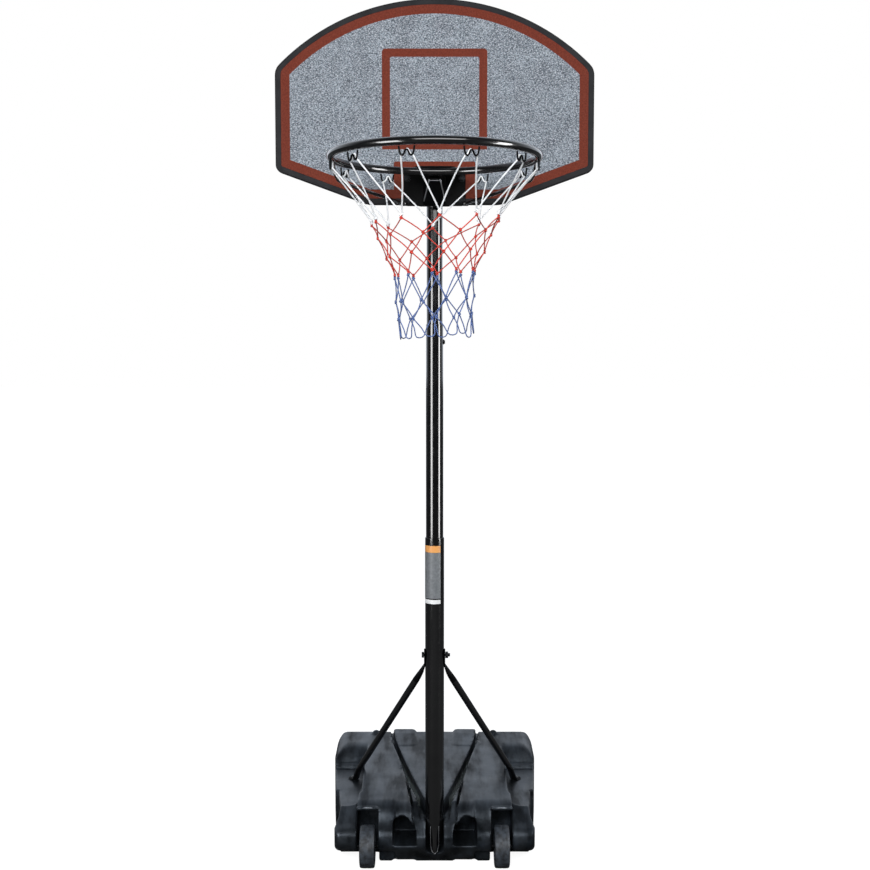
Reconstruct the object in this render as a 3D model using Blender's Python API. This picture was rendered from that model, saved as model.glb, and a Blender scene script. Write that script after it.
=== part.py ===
"""Portable basketball stand: a ballast tank on two wheels, a three-section telescopic pole
with two raking struts, a printed backboard, and a welded ring with a three-colour net.
The player stands on the -Y side. Built in metres about the pole's axis, then parented to one
empty that puts the origin on the floor under the middle of the stand."""

import math

import bmesh
import bpy
from mathutils import Vector

# Play between pieces that touch
GAP = 0.0003

# Pole: outer diameters of the three tubes and the heights of their ends
WALL = 0.0012
LOWER_R = 0.0215
MIDDLE_R = 0.0200
UPPER_R = 0.0185
LOWER_FOOT_Z = 0.095
LOWER_TOP_Z = 0.781
MIDDLE_FOOT_Z = 0.620
MIDDLE_TOP_Z = 1.275
UPPER_FOOT_Z = 1.055
UPPER_TOP_Z = 1.900
TUBE_SIDES = 36

# Tank: side outline in (y, z), half widths at its front and rear
TANK_FRONT_Y = -0.042
TANK_REAR_Y = 0.455
TANK_REAR_Z = 0.176
TANK_DECK_Z = 0.150
TANK_CORNER_R = 0.045
TANK_HALF_FRONT = 0.236
TANK_HALF_REAR = 0.266
TANK_EDGE = 0.018
TANK_WALL = 0.0035
CHIN_Z = 0.055
CHIN_FOOT_Y = 0.005
LUMP_IN = 0.058
LUMP_OUT = 0.110
LUMP_RISE = 0.007

# Side ledges that the struts stand on, and the drum that stays up behind each
LEDGE_Z = 0.125
LEDGE_IN = 0.178
LEDGE_BEND_Y = 0.095
FLANK_Y = 0.139
FLANK_HALF = 0.238
DRUM_Y = 0.388
DRUM_Z = 0.0765
DRUM_R = 0.102
DRUM_STEP_Y = 0.289
DRUM_STEP_Z = 0.1335

# Rounded bosses that hold the axle pins, and the arched hollows between them
BOSS_Y = -0.012
BOSS_Z = 0.066
BOSS_R = 0.030
BOSS_IN = 0.0936
BOSS_FACE_Y = 0.032
BELLY_IN = 0.1335
BELLY_Y = 0.055
ARCH_IN = 0.041
ARCH_OUT = 0.094
ARCH_FLOOR_Z = 0.058
ARCH_DEPTH_Y = 0.010
GROOVE_HALF = 0.006
GROOVE_DEPTH = 0.012

# The water's hollow behind the wheels, and the filler in the rear wall
HOLLOW_FRONT_Y = 0.062
HOLLOW_HALF = 0.229
HOLLOW_DECK_HALF = 0.162
HOLLOW_DECK_FRONT_Z = 0.134
HOLLOW_DECK_REAR_Z = 0.152
POCKET_FLOOR_Z = 0.030
POCKET_REAR_Y = 0.008
FILLER_Z = 0.095
FILLER_R = 0.018
CAP_R = 0.0235

# Wheels and their pins
WHEEL_R = 0.049
WHEEL_HALF = 0.0175
WHEEL_X = 0.158
WHEEL_Y = -0.022
PIN_R = 0.004
PIN_HALF = 0.062
PIN_X = 0.163
SLOT_IN = 0.133
SLOT_OUT = 0.183
SLOT_REAR_Y = 0.045
SLOT_TOP_Z = 0.135

# Struts from the pole down to the tank's side ledges
STRUT_R = 0.008
STRUT_SHEET = 0.0016
STRUT_BOLT_Z = 0.5025
STRUT_FOOT = (0.207, 0.214)
BOLT_R = 0.004
BOLT_HOLE_R = 0.0043

# Far enough to pass right through anything
BEYOND = 0.40

# Backboard outline, above its own bottom edge
BOARD_HALF = 0.355
BOARD_HEIGHT = 0.450
BOARD_SHOULDER = 0.298
BOARD_HIP = 0.075
BOARD_FOOT_HALF = 0.149
BOARD_Z = 1.541
BOARD_FRONT_Y = -0.055
BOARD_THICK = 0.020
SHEET_INSET = 0.013
SHEET_THICK = 0.0009
SHEET_RECESS = 0.0012

# Ring, its plate and net
RING_R = 0.2075
RING_TUBE = 0.008
RING_Z = 1.602
RING_BEHIND = 0.075
RING_Y = BOARD_FRONT_Y - RING_BEHIND - RING_R - RING_TUBE
PLATE_HALF = 0.069
PLATE_LOW_Z = 1.537
PLATE_THICK = 0.003
PLATE_BOLT_R = 0.0033
PLATE_HOLE_R = 0.0036
BRACKET_SHEET = 0.003
BOLT_X = 0.061
BOLT_ZS = (1.551, 1.598)
HOOKS = 10
HOOK_STEP = math.radians(33.5)
HOOK_WIRE = 0.0016
HOOK_DROP = 0.017
NET_ROWS = ((1.482, 0.131), (1.428, 0.104), (1.365, 0.084), (1.302, 0.080), (1.242, 0.079))
WHITE_CORD_R = 0.0022
NET_CORD = 0.0036
KNOT_DROP = 0.0095

# Height adjustment
UPPER_SCREW_Z = 1.2343
LOWER_SCREW_Z = 0.745

# The empty that carries everything: its Y puts the origin under the middle of the stand
CAP_DEPTH = 0.011
STAND_Y = (RING_R + RING_TUBE - RING_Y - TANK_REAR_Y - CAP_DEPTH) / 2

PLACES = {}


def clear_scene():
    for old in list(bpy.data.objects):
        bpy.data.objects.remove(old, do_unlink=True)


def finish(name, red, green, blue, roughness, metallic):
    material = bpy.data.materials.new(name)
    material.use_nodes = True
    shader = material.node_tree.nodes["Principled BSDF"]
    shader.inputs["Base Color"].default_value = (red, green, blue, 1.0)
    shader.inputs["Roughness"].default_value = roughness
    shader.inputs["Metallic"].default_value = metallic
    return material


def empty(name, at, parent=None):
    """An empty at a place given from the pole's foot, whatever its parent."""
    holder = bpy.data.objects.new(name, None)
    bpy.context.collection.objects.link(holder)
    PLACES[name] = Vector(at)
    holder.location = PLACES[name]
    if parent:
        holder.parent = parent
        holder.location = PLACES[name] - PLACES[parent.name]
    return holder


def piece(name, bm, material, parent, at=(0, 0, 0), crease=35):
    """Turn a bmesh into a named object; its own origin lies at the given place."""
    bmesh.ops.recalc_face_normals(bm, faces=bm.faces)
    mesh = bpy.data.meshes.new(name)
    bm.to_mesh(mesh)
    bm.free()
    mesh.materials.append(material)
    mesh.shade_smooth()
    mesh.set_sharp_from_angle(angle=math.radians(crease))
    body = bpy.data.objects.new(name, mesh)
    bpy.context.collection.objects.link(body)
    body.parent = parent
    body.location = Vector(at) - PLACES[parent.name]
    return body


def cut(body, bm, parent, label, at=(0, 0, 0), operation='DIFFERENCE'):
    """Take a helper's volume out of a body, or add it, with an exact Boolean."""
    helper = piece(body.name + "_" + label, bm, body.data.materials[0], parent, at)
    helper.hide_render = True
    helper.display_type = 'WIRE'
    boolean = body.modifiers.new(label, 'BOOLEAN')
    boolean.operation = operation
    boolean.object = helper
    return helper


def loft(sections, closed=False):
    """Skin a row of loops with quads; an open row gets a flat cap on each end."""
    bm = bmesh.new()
    loops = [[bm.verts.new(point) for point in section] for section in sections]
    count = len(loops[0])
    pairs = list(zip(loops, loops[1:]))
    if closed:
        pairs.append((loops[-1], loops[0]))
    for near, far in pairs:
        for i in range(count):
            j = (i + 1) % count
            bm.faces.new((near[i], near[j], far[j], far[i]))
    if not closed:
        bm.faces.new(loops[0])
        bm.faces.new(loops[-1])
    return bm


def ellipse(centre, u, v, count):
    return [Vector(centre) + Vector(u) * math.cos(a) + Vector(v) * math.sin(a)
            for a in (2 * math.pi * i / count for i in range(count))]


def turned(profile, sides, axis='Z'):
    """Revolve (radius, height) points; a profile clear of the axis closes on itself."""
    order = {'X': (2, 0, 1), 'Y': (0, 2, 1), 'Z': (0, 1, 2)}[axis]

    def point(radius, height, angle):
        raw = (radius * math.cos(angle), radius * math.sin(angle), height)
        return Vector(raw[i] for i in order)

    angles = [2 * math.pi * i / sides for i in range(sides)]
    return loft([[point(r, h, a) for r, h in profile] for a in angles], closed=True)


def solid_turned(profile, sides, axis='Z'):
    """Revolve (radius, height) points that run from one flat end to the other."""
    order = {'X': (2, 0, 1), 'Y': (0, 2, 1), 'Z': (0, 1, 2)}[axis]
    sections = []
    for radius, height in profile:
        ring = ellipse((0, 0, height), (radius, 0, 0), (0, radius, 0), sides)
        sections.append([Vector(p[i] for i in order) for p in ring])
    return loft(sections)


def block(low, high):
    (x0, y0, z0), (x1, y1, z1) = low, high
    base = [(x0, y0), (x1, y0), (x1, y1), (x0, y1)]
    return loft([[Vector((x, y, z)) for x, y in base] for z in (z0, z1)])


def prism_x(outline, x0, x1):
    return loft([[Vector((x, y, z)) for y, z in outline] for x in (x0, x1)])


def prism_y(outline, y0, y1):
    return loft([[Vector((x, y, z)) for x, z in outline] for y in (y0, y1)])


def prism_z(outline, z0, z1):
    return loft([[Vector((x, y, z)) for x, y in outline] for z in (z0, z1)])


def arc(centre, radius, start, end, steps):
    """Points on a circle arc, angles in degrees."""
    turn = [math.radians(start + (end - start) * i / steps) for i in range(steps + 1)]
    return [(centre[0] + radius * math.cos(a), centre[1] + radius * math.sin(a)) for a in turn]


def inset(outline, distance):
    """Move every side of a counter-clockwise outline inwards by one distance."""
    moved = []
    count = len(outline)
    for i in range(count):
        (ax, ay), (bx, by), (cx, cy) = outline[i - 1], outline[i], outline[(i + 1) % count]
        before = Vector((bx - ax, by - ay)).normalized()
        after = Vector((cx - bx, cy - by)).normalized()
        normal = Vector((-before.y - after.y, before.x + after.x))
        scale = 2 * distance / normal.length_squared
        moved.append((bx + normal.x * scale, by + normal.y * scale))
    return moved


def clip(outline, axis, limit, keep_above):
    """Part of a convex outline on one side of a line across an axis."""
    kept = []
    sign = 1 if keep_above else -1
    for i, here in enumerate(outline):
        last = outline[i - 1]
        inside, was_inside = sign * (here[axis] - limit) >= 0, sign * (last[axis] - limit) >= 0
        if inside != was_inside:
            share = (limit - last[axis]) / (here[axis] - last[axis])
            kept.append((last[0] + (here[0] - last[0]) * share,
                         last[1] + (here[1] - last[1]) * share))
        if inside:
            kept.append(here)
    return kept


def sweep(points, radius, sides, closed=False, swell=None, start=None):
    """Round bar along a path; swell holds a factor on the radius for some of its points."""
    points = [Vector(p) for p in points]
    swell = swell or {}
    count = len(points)
    sections = []
    side = start
    for i, here in enumerate(points):
        before = points[i - 1] if closed or i else here
        after = points[(i + 1) % count] if closed or i < count - 1 else here
        ahead = (after - before).normalized()
        if side is None:
            side = ahead.orthogonal().normalized()
        side = (side - ahead * side.dot(ahead)).normalized()
        r = radius * swell.get(i, 1.0)
        sections.append(ellipse(here, side * r, ahead.cross(side) * r, sides))
    if closed:
        # The transported frame comes back turned, so the turn is spread over the whole loop
        ahead = (points[1] - points[-1]).normalized()
        carried = (side - ahead * side.dot(ahead)).normalized()
        first = (sections[0][0] - points[0]).normalized()
        drift = math.atan2(ahead.dot(carried.cross(first)), carried.dot(first))
        for i, here in enumerate(points):
            along = (points[(i + 1) % count] - points[i - 1]).normalized()
            u = (sections[i][0] - here)
            turn = drift * i / count
            u = u * math.cos(turn) + along.cross(u) * math.sin(turn)
            sections[i] = ellipse(here, u, along.cross(u), sides)
    return loft(sections, closed)


def tank_half(y):
    share = (y - TANK_FRONT_Y) / (TANK_REAR_Y - TANK_FRONT_Y)
    return TANK_HALF_FRONT + (TANK_HALF_REAR - TANK_HALF_FRONT) * share


def tank_profile():
    """Side view in (y, z), from the chin round under the tank and back over the deck."""
    r = TANK_CORNER_R
    rear = arc((TANK_REAR_Y - r, TANK_REAR_Z - r), r, 0, 88, 5)
    nose = arc((TANK_FRONT_Y + r, TANK_DECK_Z - r), r, 92, 180, 5)
    return [(CHIN_FOOT_Y, 0.0), (TANK_REAR_Y, 0.0)] + rear + nose + [(TANK_FRONT_Y, CHIN_Z)]


def groove_cutter(side):
    """One leg of the V that runs from the pole to the tank's rear edge."""
    path = [(0.024, -0.01, 0.1505), (0.030, 0.03, 0.152), (0.083, 0.32, 0.1695),
            (0.099, 0.50, 0.190)]
    mouth, above = GROOVE_HALF * 1.4, 0.02
    sections = []
    for x, y, z in path:
        corners = [(-GROOVE_HALF, -GROOVE_DEPTH), (GROOVE_HALF, -GROOVE_DEPTH),
                   (mouth, above), (-mouth, above)]
        sections.append([Vector((side * x + dx, y, z + dz)) for dx, dz in corners])
    return loft(sections)


def lump(side):
    """Low raised block on the deck's rear edge, beside the groove's end."""
    low, top = TANK_REAR_Z - 0.02, TANK_REAR_Z + LUMP_RISE
    outline = [(0.370, low), (0.430, low), (0.440, top - 0.006), (0.432, top), (0.405, top),
               (0.370, TANK_REAR_Z - 0.005)]
    return prism_x(outline, side * LUMP_IN, side * LUMP_OUT)


def ledge_cutter(side):
    """The space over the low side ledge that a strut's foot stands on."""
    floor = [(BEYOND, -BEYOND), (BEYOND, TANK_REAR_Y - 0.005), (LEDGE_IN, TANK_REAR_Y - 0.005),
             (LEDGE_IN, LEDGE_BEND_Y)]
    r = TANK_CORNER_R
    corner = arc((LEDGE_IN + r, LEDGE_BEND_Y), r, 180, 236, 3)
    plan = floor + corner + [(0.205, -BEYOND)]
    return prism_z([(side * x, y) for x, y in plan], LEDGE_Z, BEYOND)


def drum_keeper(side):
    """The drum that stays up behind a ledge, with the low step at its foot."""
    rear = TANK_REAR_Y + 0.005
    crown = arc((DRUM_Y, DRUM_Z), DRUM_R, 84, 144, 6)
    outline = [(DRUM_STEP_Y, 0.115), (rear, 0.115), (rear, 0.176)] + crown
    outline.append((DRUM_STEP_Y, DRUM_STEP_Z))
    return prism_x(outline, side * (LEDGE_IN - 0.018), side * BEYOND)


def flank_cutter(side):
    """Narrows the tank's side in front of the drum by a small step."""
    plan = [(BEYOND, -BEYOND), (BEYOND, FLANK_Y), (FLANK_HALF, FLANK_Y),
            (FLANK_HALF - 0.0075, TANK_FRONT_Y), (FLANK_HALF - 0.0150, -BEYOND)]
    return prism_z([(side * x, y) for x, y in plan], -BEYOND, BEYOND)


def boss_face_cutter(side):
    """The sloping face from an outer boss up to the front edge of its ledge."""
    nose = arc((BOSS_Y, BOSS_Z), BOSS_R, 180, 120, 4)
    outline = [(-BEYOND, BOSS_Z)] + nose + [(BOSS_FACE_Y, LEDGE_Z), (BOSS_FACE_Y, BEYOND),
                                            (-BEYOND, BEYOND)]
    return prism_x(outline, side * SLOT_OUT, side * BEYOND)


def chin_cutter(side):
    """The open space under both bosses of one wheel, round at its front."""
    nose = arc((BOSS_Y, BOSS_Z), BOSS_R, 180, 270, 5)
    outline = [(-BEYOND, BOSS_Z)] + nose + [(0.0, BOSS_Z - BOSS_R), (0.0, -BEYOND),
                                            (-BEYOND, -BEYOND)]
    return prism_x(outline, side * BOSS_IN, side * BEYOND)


def belly_cutter(side):
    """The open space behind the bosses, up to where the flat underside starts."""
    low, high = sorted((side * BELLY_IN, side * BEYOND))
    return block((low, -BEYOND, -BEYOND), (high, BELLY_Y, BOSS_Z - BOSS_R + 0.0002))


def arch_cutter(side):
    """Arched hollow in the front face, between an inner boss and the pole's channel."""
    centre, radius = (ARCH_IN + ARCH_OUT) / 2, (ARCH_OUT - ARCH_IN) / 2
    outline = [(ARCH_IN, ARCH_FLOOR_Z), (ARCH_OUT, ARCH_FLOOR_Z)]
    outline += arc((centre, 0.097), radius, 0, 180, 8)
    return prism_y([(side * x, z) for x, z in outline], -BEYOND, ARCH_DEPTH_Y)


def build_tank(parent, plastic):
    sides = [[Vector((s * tank_half(y), y, z)) for y, z in tank_profile()] for s in (-1, 1)]
    body = loft(sides)
    rims = [e for e in body.edges
            if abs(e.verts[0].co.x - e.verts[1].co.x) < 0.05
            and max(v.co.z for v in e.verts) > 0.04
            and min(v.co.z for v in e.verts) > -0.001]
    bmesh.ops.bevel(body, geom=rims, offset=TANK_EDGE, segments=3, affect='EDGES', profile=0.5,
                    clamp_overlap=True)
    tank = piece("base_tank", body, plastic, parent)
    pin_hole = PIN_R + GAP
    for side, word in ((1, "right"), (-1, "left")):
        cut(tank, lump(side), parent, "lump_" + word, operation='UNION')
        ledge = cut(tank, ledge_cutter(side), parent, "ledge_" + word)
        cut(ledge, drum_keeper(side), parent, "drum")
        cut(tank, groove_cutter(side), parent, "groove_" + word)
        cut(tank, flank_cutter(side), parent, "flank_" + word)
        low, high = sorted((side * SLOT_IN, side * SLOT_OUT))
        slot = block((low, -BEYOND, -BEYOND), (high, SLOT_REAR_Y, SLOT_TOP_Z))
        cut(tank, slot, parent, "slot_" + word)
        cut(tank, boss_face_cutter(side), parent, "boss_face_" + word)
        cut(tank, chin_cutter(side), parent, "chin_" + word)
        cut(tank, belly_cutter(side), parent, "belly_" + word)
        cut(tank, arch_cutter(side), parent, "arch_" + word)
        bore = solid_turned([(pin_hole, side * (PIN_X - PIN_HALF - 0.001)),
                             (pin_hole, side * (PIN_X + PIN_HALF + 0.001))], 16, 'X')
        cut(tank, bore, parent, "bore_" + word, (0, WHEEL_Y, WHEEL_R))
    half = LOWER_R + 0.001
    rear = arc((0.0, POCKET_REAR_Y), half, 0, 180, 8)
    channel = [(half, -BEYOND)] + rear + [(-half, -BEYOND)]
    cut(tank, prism_z(channel, POCKET_FLOOR_Z, BEYOND), parent, "channel")
    cut(tank, hollow(0.0), parent, "hollow")
    neck = solid_turned([(FILLER_R, 0.40), (FILLER_R, 0.47)], 24, 'Y')
    cut(tank, neck, parent, "neck", (0, 0, FILLER_Z))
    return tank


def hollow(shrink):
    """The space behind the wheels: a wide low part and a narrower part under the deck."""
    wall = TANK_WALL + shrink
    half, wide = HOLLOW_DECK_HALF - shrink, HOLLOW_HALF - shrink
    top = LEDGE_Z - wall
    foot = [(-wide, wall), (wide, wall), (wide, top), (half, top)]
    stations = ((HOLLOW_FRONT_Y + shrink, HOLLOW_DECK_FRONT_Z - shrink),
                (TANK_REAR_Y - wall - 0.012, HOLLOW_DECK_REAR_Z - shrink))
    return loft([[Vector((x, y, z)) for x, z in
                  foot + [(half, deck), (-half, deck), (-half, top), (-wide, top)]]
                 for y, deck in stations])


def build_base(parent, plastic, steel, water, rubber):
    build_tank(parent, plastic)
    piece("ballast_water", hollow(GAP), water, parent)
    plug = FILLER_R - 2 * GAP
    cap_profile = [(plug, -0.010), (plug, GAP), (CAP_R, GAP), (CAP_R, CAP_DEPTH - 0.002),
                   (CAP_R - 0.0025, CAP_DEPTH), (0.004, CAP_DEPTH)]
    turn = empty("filler_cap_axis", (0, TANK_REAR_Y, FILLER_Z), parent)
    cap = piece("filler_cap", solid_turned(cap_profile, 24, 'Y'), plastic, turn,
                (0, TANK_REAR_Y, FILLER_Z))
    cut(cap, block((-0.016, 0.006, -0.0022), (0.016, 0.012, 0.0022)), turn, "coin_slot",
        (0, TANK_REAR_Y, FILLER_Z))
    for side, word in ((-1, "left"), (1, "right")):
        pin = solid_turned([(PIN_R, -PIN_HALF), (PIN_R, PIN_HALF)], 16, 'X')
        piece("axle_pin_" + word, pin, steel, parent, (side * PIN_X, WHEEL_Y, WHEEL_R))
        axis = empty("wheel_axis_" + word, (side * WHEEL_X, WHEEL_Y, WHEEL_R), parent)
        hub, r, w = PIN_R + 0.0004, WHEEL_R, WHEEL_HALF
        tyre = [(hub, -w), (0.014, -w), (0.016, -w + 0.005), (r - 0.012, -w + 0.005),
                (r - 0.010, -w), (r - 0.004, -w), (r, -w + 0.004), (r, w - 0.004),
                (r - 0.004, w), (r - 0.010, w), (r - 0.012, w - 0.005), (0.016, w - 0.005),
                (0.014, w), (hub, w)]
        piece("wheel_" + word, turned(tyre, 28, 'X'), rubber, axis,
              (side * WHEEL_X, WHEEL_Y, WHEEL_R))


def tube(radius, low, high):
    inner = radius - WALL
    return turned([(radius, low), (radius, high), (inner, high), (inner, low)], TUBE_SIDES)


def cross_hole(radius, start, end, axis):
    return solid_turned([(radius, start), (radius, end)], 16, axis)


def build_pole(base, middle, upper, paint, plastic, steel):
    lower = piece("pole_lower", tube(LOWER_R, LOWER_FOOT_Z, LOWER_TOP_Z), paint, base)
    cut(lower, cross_hole(BOLT_HOLE_R, -0.05, 0.05, 'X'), base, "strut_hole", (0, 0, STRUT_BOLT_Z))
    cut(lower, cross_hole(BOLT_HOLE_R, 0.0, 0.05, 'Y'), base, "screw_hole", (0, 0, LOWER_SCREW_Z))
    foot = [(0.1300, LOWER_R - WALL - GAP, LOWER_R - WALL - GAP),
            (LOWER_FOOT_Z - GAP, LOWER_R - WALL - GAP, LOWER_R - WALL - GAP),
            (LOWER_FOOT_Z - GAP, LOWER_R, LOWER_R), (0.075, 0.0190, 0.0235), (0.058, 0.0140, 0.0255),
            (0.044, 0.0090, 0.0270), (0.035, 0.0055, 0.0275), (POCKET_FLOOR_Z + GAP, 0.0030, 0.0275)]
    sections = [ellipse((0, 0, z), (a, 0, 0), (0, b, 0), 24) for z, a, b in foot]
    piece("pole_foot", loft(sections), paint, base)
    centre = piece("pole_middle", tube(MIDDLE_R, MIDDLE_FOOT_Z, MIDDLE_TOP_Z), paint, middle)
    cut(centre, cross_hole(BOLT_HOLE_R, 0.0, 0.05, 'X'), middle, "screw_hole", (0, 0, UPPER_SCREW_Z))
    piece("pole_upper", tube(UPPER_R, UPPER_FOOT_Z, UPPER_TOP_Z), paint, upper)
    spigot = UPPER_R - WALL - GAP
    cap = [(spigot, -0.020), (spigot, GAP), (UPPER_R + 0.001, GAP), (UPPER_R + 0.001, 0.003),
           (UPPER_R - 0.002, 0.006), (0.006, 0.007)]
    piece("pole_top_cap", solid_turned(cap, 24), plastic, upper, (0, 0, UPPER_TOP_Z))
    lock_screw("upper", middle, MIDDLE_R, UPPER_R, (0, 0, UPPER_SCREW_Z), 'X', plastic, steel)
    lock_screw("lower", base, LOWER_R, MIDDLE_R, (0, 0, LOWER_SCREW_Z), 'Y', plastic, steel)


def lock_screw(word, parent, outer, inner, at, axis, plastic, steel):
    """A welded nut on the outer tube and the screw that clamps the tube inside it."""
    nut = turned([(0.0042, outer + GAP), (0.0080, outer + GAP), (0.0080, outer + 0.0060),
                  (0.0042, outer + 0.0060)], 12, axis)
    boss = piece("lock_nut_" + word, nut, steel, parent, at)
    # The nut is cut to the tube's round face, so it sits on it all round
    saddle = turned([(0.001, -0.02), (outer + GAP, -0.02), (outer + GAP, 0.02), (0.001, 0.02)],
                    TUBE_SIDES)
    cut(boss, saddle, parent, "saddle", at)
    axis_empty = empty("lock_axis_" + word, at, parent)
    tip, neck = inner + GAP, outer + 0.0065
    screw = [(0.0036, tip), (0.0036, neck), (0.0085, neck), (0.0085, neck + 0.005),
             (0.0065, neck + 0.0065)]
    head = piece("lock_screw_" + word, solid_turned(screw, 16, axis), steel, axis_empty, at)
    reach = neck + 0.0035
    if axis == 'X':
        slot = block((reach, -0.009, -0.0011), (reach + 0.01, 0.009, 0.0011))
    else:
        slot = block((-0.009, reach, -0.0011), (0.009, reach + 0.01, 0.0011))
    cut(head, slot, axis_empty, "slot", at)


def hex_nut(bore, radius, low, high, axis):
    """Nut whose six-sided bore clears a round bar of the given radius."""
    clear = (bore + GAP) / math.cos(math.radians(30))
    return turned([(clear, low), (radius, low), (radius, high), (clear, high)], 6, axis)


def build_struts(parent, paint, steel):
    inner = LOWER_R + GAP
    for side, word in ((-1, "left"), (1, "right")):
        fx, fy = STRUT_FOOT
        top = Vector((inner + STRUT_SHEET, 0, STRUT_BOLT_Z))
        start = Vector((inner + 0.0105, 0.010, STRUT_BOLT_Z - 0.030))
        end = Vector((fx - 0.016, fy - 0.018, LEDGE_Z + 0.034))
        foot = Vector((fx, fy, LEDGE_Z + GAP + STRUT_SHEET))
        run = (end - start).normalized()
        high_u = run.cross(Vector((1, 0, 0))).normalized()
        low_u = run.cross(Vector((0, 0, 1))).normalized()
        across = Vector((0, -0.95, -0.3)).normalized()
        rows = ((-0.004, 0.013, 0.006), (-0.001, 0.006, 0.0105), (0.003, -0.010, 0.0115))
        sections = [ellipse(top + Vector((0, y, z)), across * half, (-STRUT_SHEET, 0, 0), 12)
                    for y, z, half in rows]
        steps = 8
        for i in range(steps + 1):
            share = i / steps
            u = high_u.slerp(low_u, share)
            sections.append(ellipse(start.lerp(end, share), u * STRUT_R,
                                    run.cross(u) * STRUT_R, 12))
        flat = Vector((low_u.x, low_u.y, 0)).normalized()
        out = Vector((flat.y, -flat.x, 0))
        if out.dot(run) < 0:
            out = -out
        for ahead, half in ((-0.009, 0.0115), (0.006, 0.0105), (0.012, 0.006)):
            sections.append(ellipse(foot + out * ahead, flat * half, (0, 0, -STRUT_SHEET), 12))
        sections = [[Vector((side * p.x, p.y, p.z)) for p in s] for s in sections]
        strut = piece("strut_" + word, loft(sections), paint, parent, crease=60)
        hole = cross_hole(BOLT_HOLE_R, side * 0.015, side * 0.045, 'X')
        cut(strut, hole, parent, "bolt_hole", (0, 0, STRUT_BOLT_Z))
        drill = cross_hole(0.0032, -0.01, 0.01, 'Z')
        cut(strut, drill, parent, "foot_hole", (side * fx, fy, LEDGE_Z))
        seat = LEDGE_Z + 2 * GAP + 2 * STRUT_SHEET
        head = [(0.0029, LEDGE_Z + GAP), (0.0029, seat), (0.0065, seat), (0.0060, seat + 0.003),
                (0.0035, seat + 0.0045)]
        piece("strut_foot_screw_" + word, solid_turned(head, 16), steel, parent,
              (side * fx, fy, 0))
    reach = inner + 2 * STRUT_SHEET + GAP
    bolt = [(0.0070, -reach - 0.0050), (0.0070, -reach), (BOLT_R, -reach), (BOLT_R, reach + 0.011)]
    piece("strut_bolt", solid_turned(bolt, 12, 'X'), steel, parent, (0, 0, STRUT_BOLT_Z))
    nut = hex_nut(BOLT_R, 0.0080, reach, reach + 0.0065, 'X')
    piece("strut_nut", nut, steel, parent, (0, 0, STRUT_BOLT_Z))


def board_outline():
    """Front view in (x, z) above the board's bottom edge, counter-clockwise, corners rounded."""
    rise = BOARD_HEIGHT - BOARD_SHOULDER
    radius = (BOARD_HALF ** 2 + rise ** 2) / (2 * rise)
    reach = math.degrees(math.asin(BOARD_HALF / radius))
    crown = arc((0, BOARD_HEIGHT - radius), radius, 90 - reach, 90 + reach, 22)
    corners = [(BOARD_FOOT_HALF, 0.0), (BOARD_HALF, BOARD_HIP)] + crown + \
              [(-BOARD_HALF, BOARD_HIP), (-BOARD_FOOT_HALF, 0.0)]
    soft = []
    for i, (x, z) in enumerate(corners):
        last, after = Vector(corners[i - 1]), Vector(corners[(i + 1) % len(corners)])
        here = Vector((x, z))
        if abs((here - last).angle_signed(after - here)) < math.radians(12):
            soft.append((x, z))
            continue
        a = here + (last - here).normalized() * 0.014
        b = here + (after - here).normalized() * 0.014
        soft += [tuple(a), tuple(here * 0.5 + (a + b) * 0.25), tuple(b)]
    return soft


def build_board(parent, plastic, printed, steel, paint):
    outline = board_outline()
    lifted = [(x, z + BOARD_Z) for x, z in outline]
    back = BOARD_FRONT_Y + BOARD_THICK
    slab = prism_y(lifted, BOARD_FRONT_Y, back)
    board = piece("backboard_panel", slab, plastic, parent)
    front = prism_y(inset(lifted, SHEET_INSET), BOARD_FRONT_Y - 0.01, BOARD_FRONT_Y + SHEET_RECESS)
    cut(board, front, parent, "recess")
    inner = inset(lifted, 0.012)
    columns = (0.085, 0.168, 0.251, 0.36)
    rows = ((1.50, 1.655), (1.663, 1.80), (1.808, 2.10))
    for left, right in zip(columns, columns[1:]):
        for low, high in rows:
            for side in (-1, 1):
                cell = clip(inner, 0, side * (left + 0.004), side > 0)
                cell = clip(cell, 0, side * (right - 0.004), side < 0)
                cell = clip(clip(cell, 1, low, True), 1, high, False)
                label = "cell_%d_%d_%d" % (1000 * left, 1000 * low, side)
                cut(board, prism_y(cell, BOARD_FRONT_Y + 0.006, back + 0.01), parent, label)
    for x in (-BOLT_X, BOLT_X):
        for z in BOLT_ZS:
            hole = cross_hole(PLATE_HOLE_R, BOARD_FRONT_Y - 0.02, back + 0.02, 'Y')
            cut(board, hole, parent, "hole_%d_%d" % (1000 * x, 1000 * z), (x, 0, z))
    face = BOARD_FRONT_Y + SHEET_RECESS - GAP
    edge = inset(lifted, SHEET_INSET + GAP)
    sheet = piece("board_face_sheet", prism_y(edge, face - SHEET_THICK, face), printed, parent)
    for x in (-BOLT_X, BOLT_X):
        for z in BOLT_ZS:
            hole = cross_hole(PLATE_HOLE_R, BOARD_FRONT_Y - 0.02, 0.0, 'Y')
            cut(sheet, hole, parent, "hole_%d_%d" % (1000 * x, 1000 * z), (x, 0, z))
    build_brackets(parent, back, steel, paint)


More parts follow.
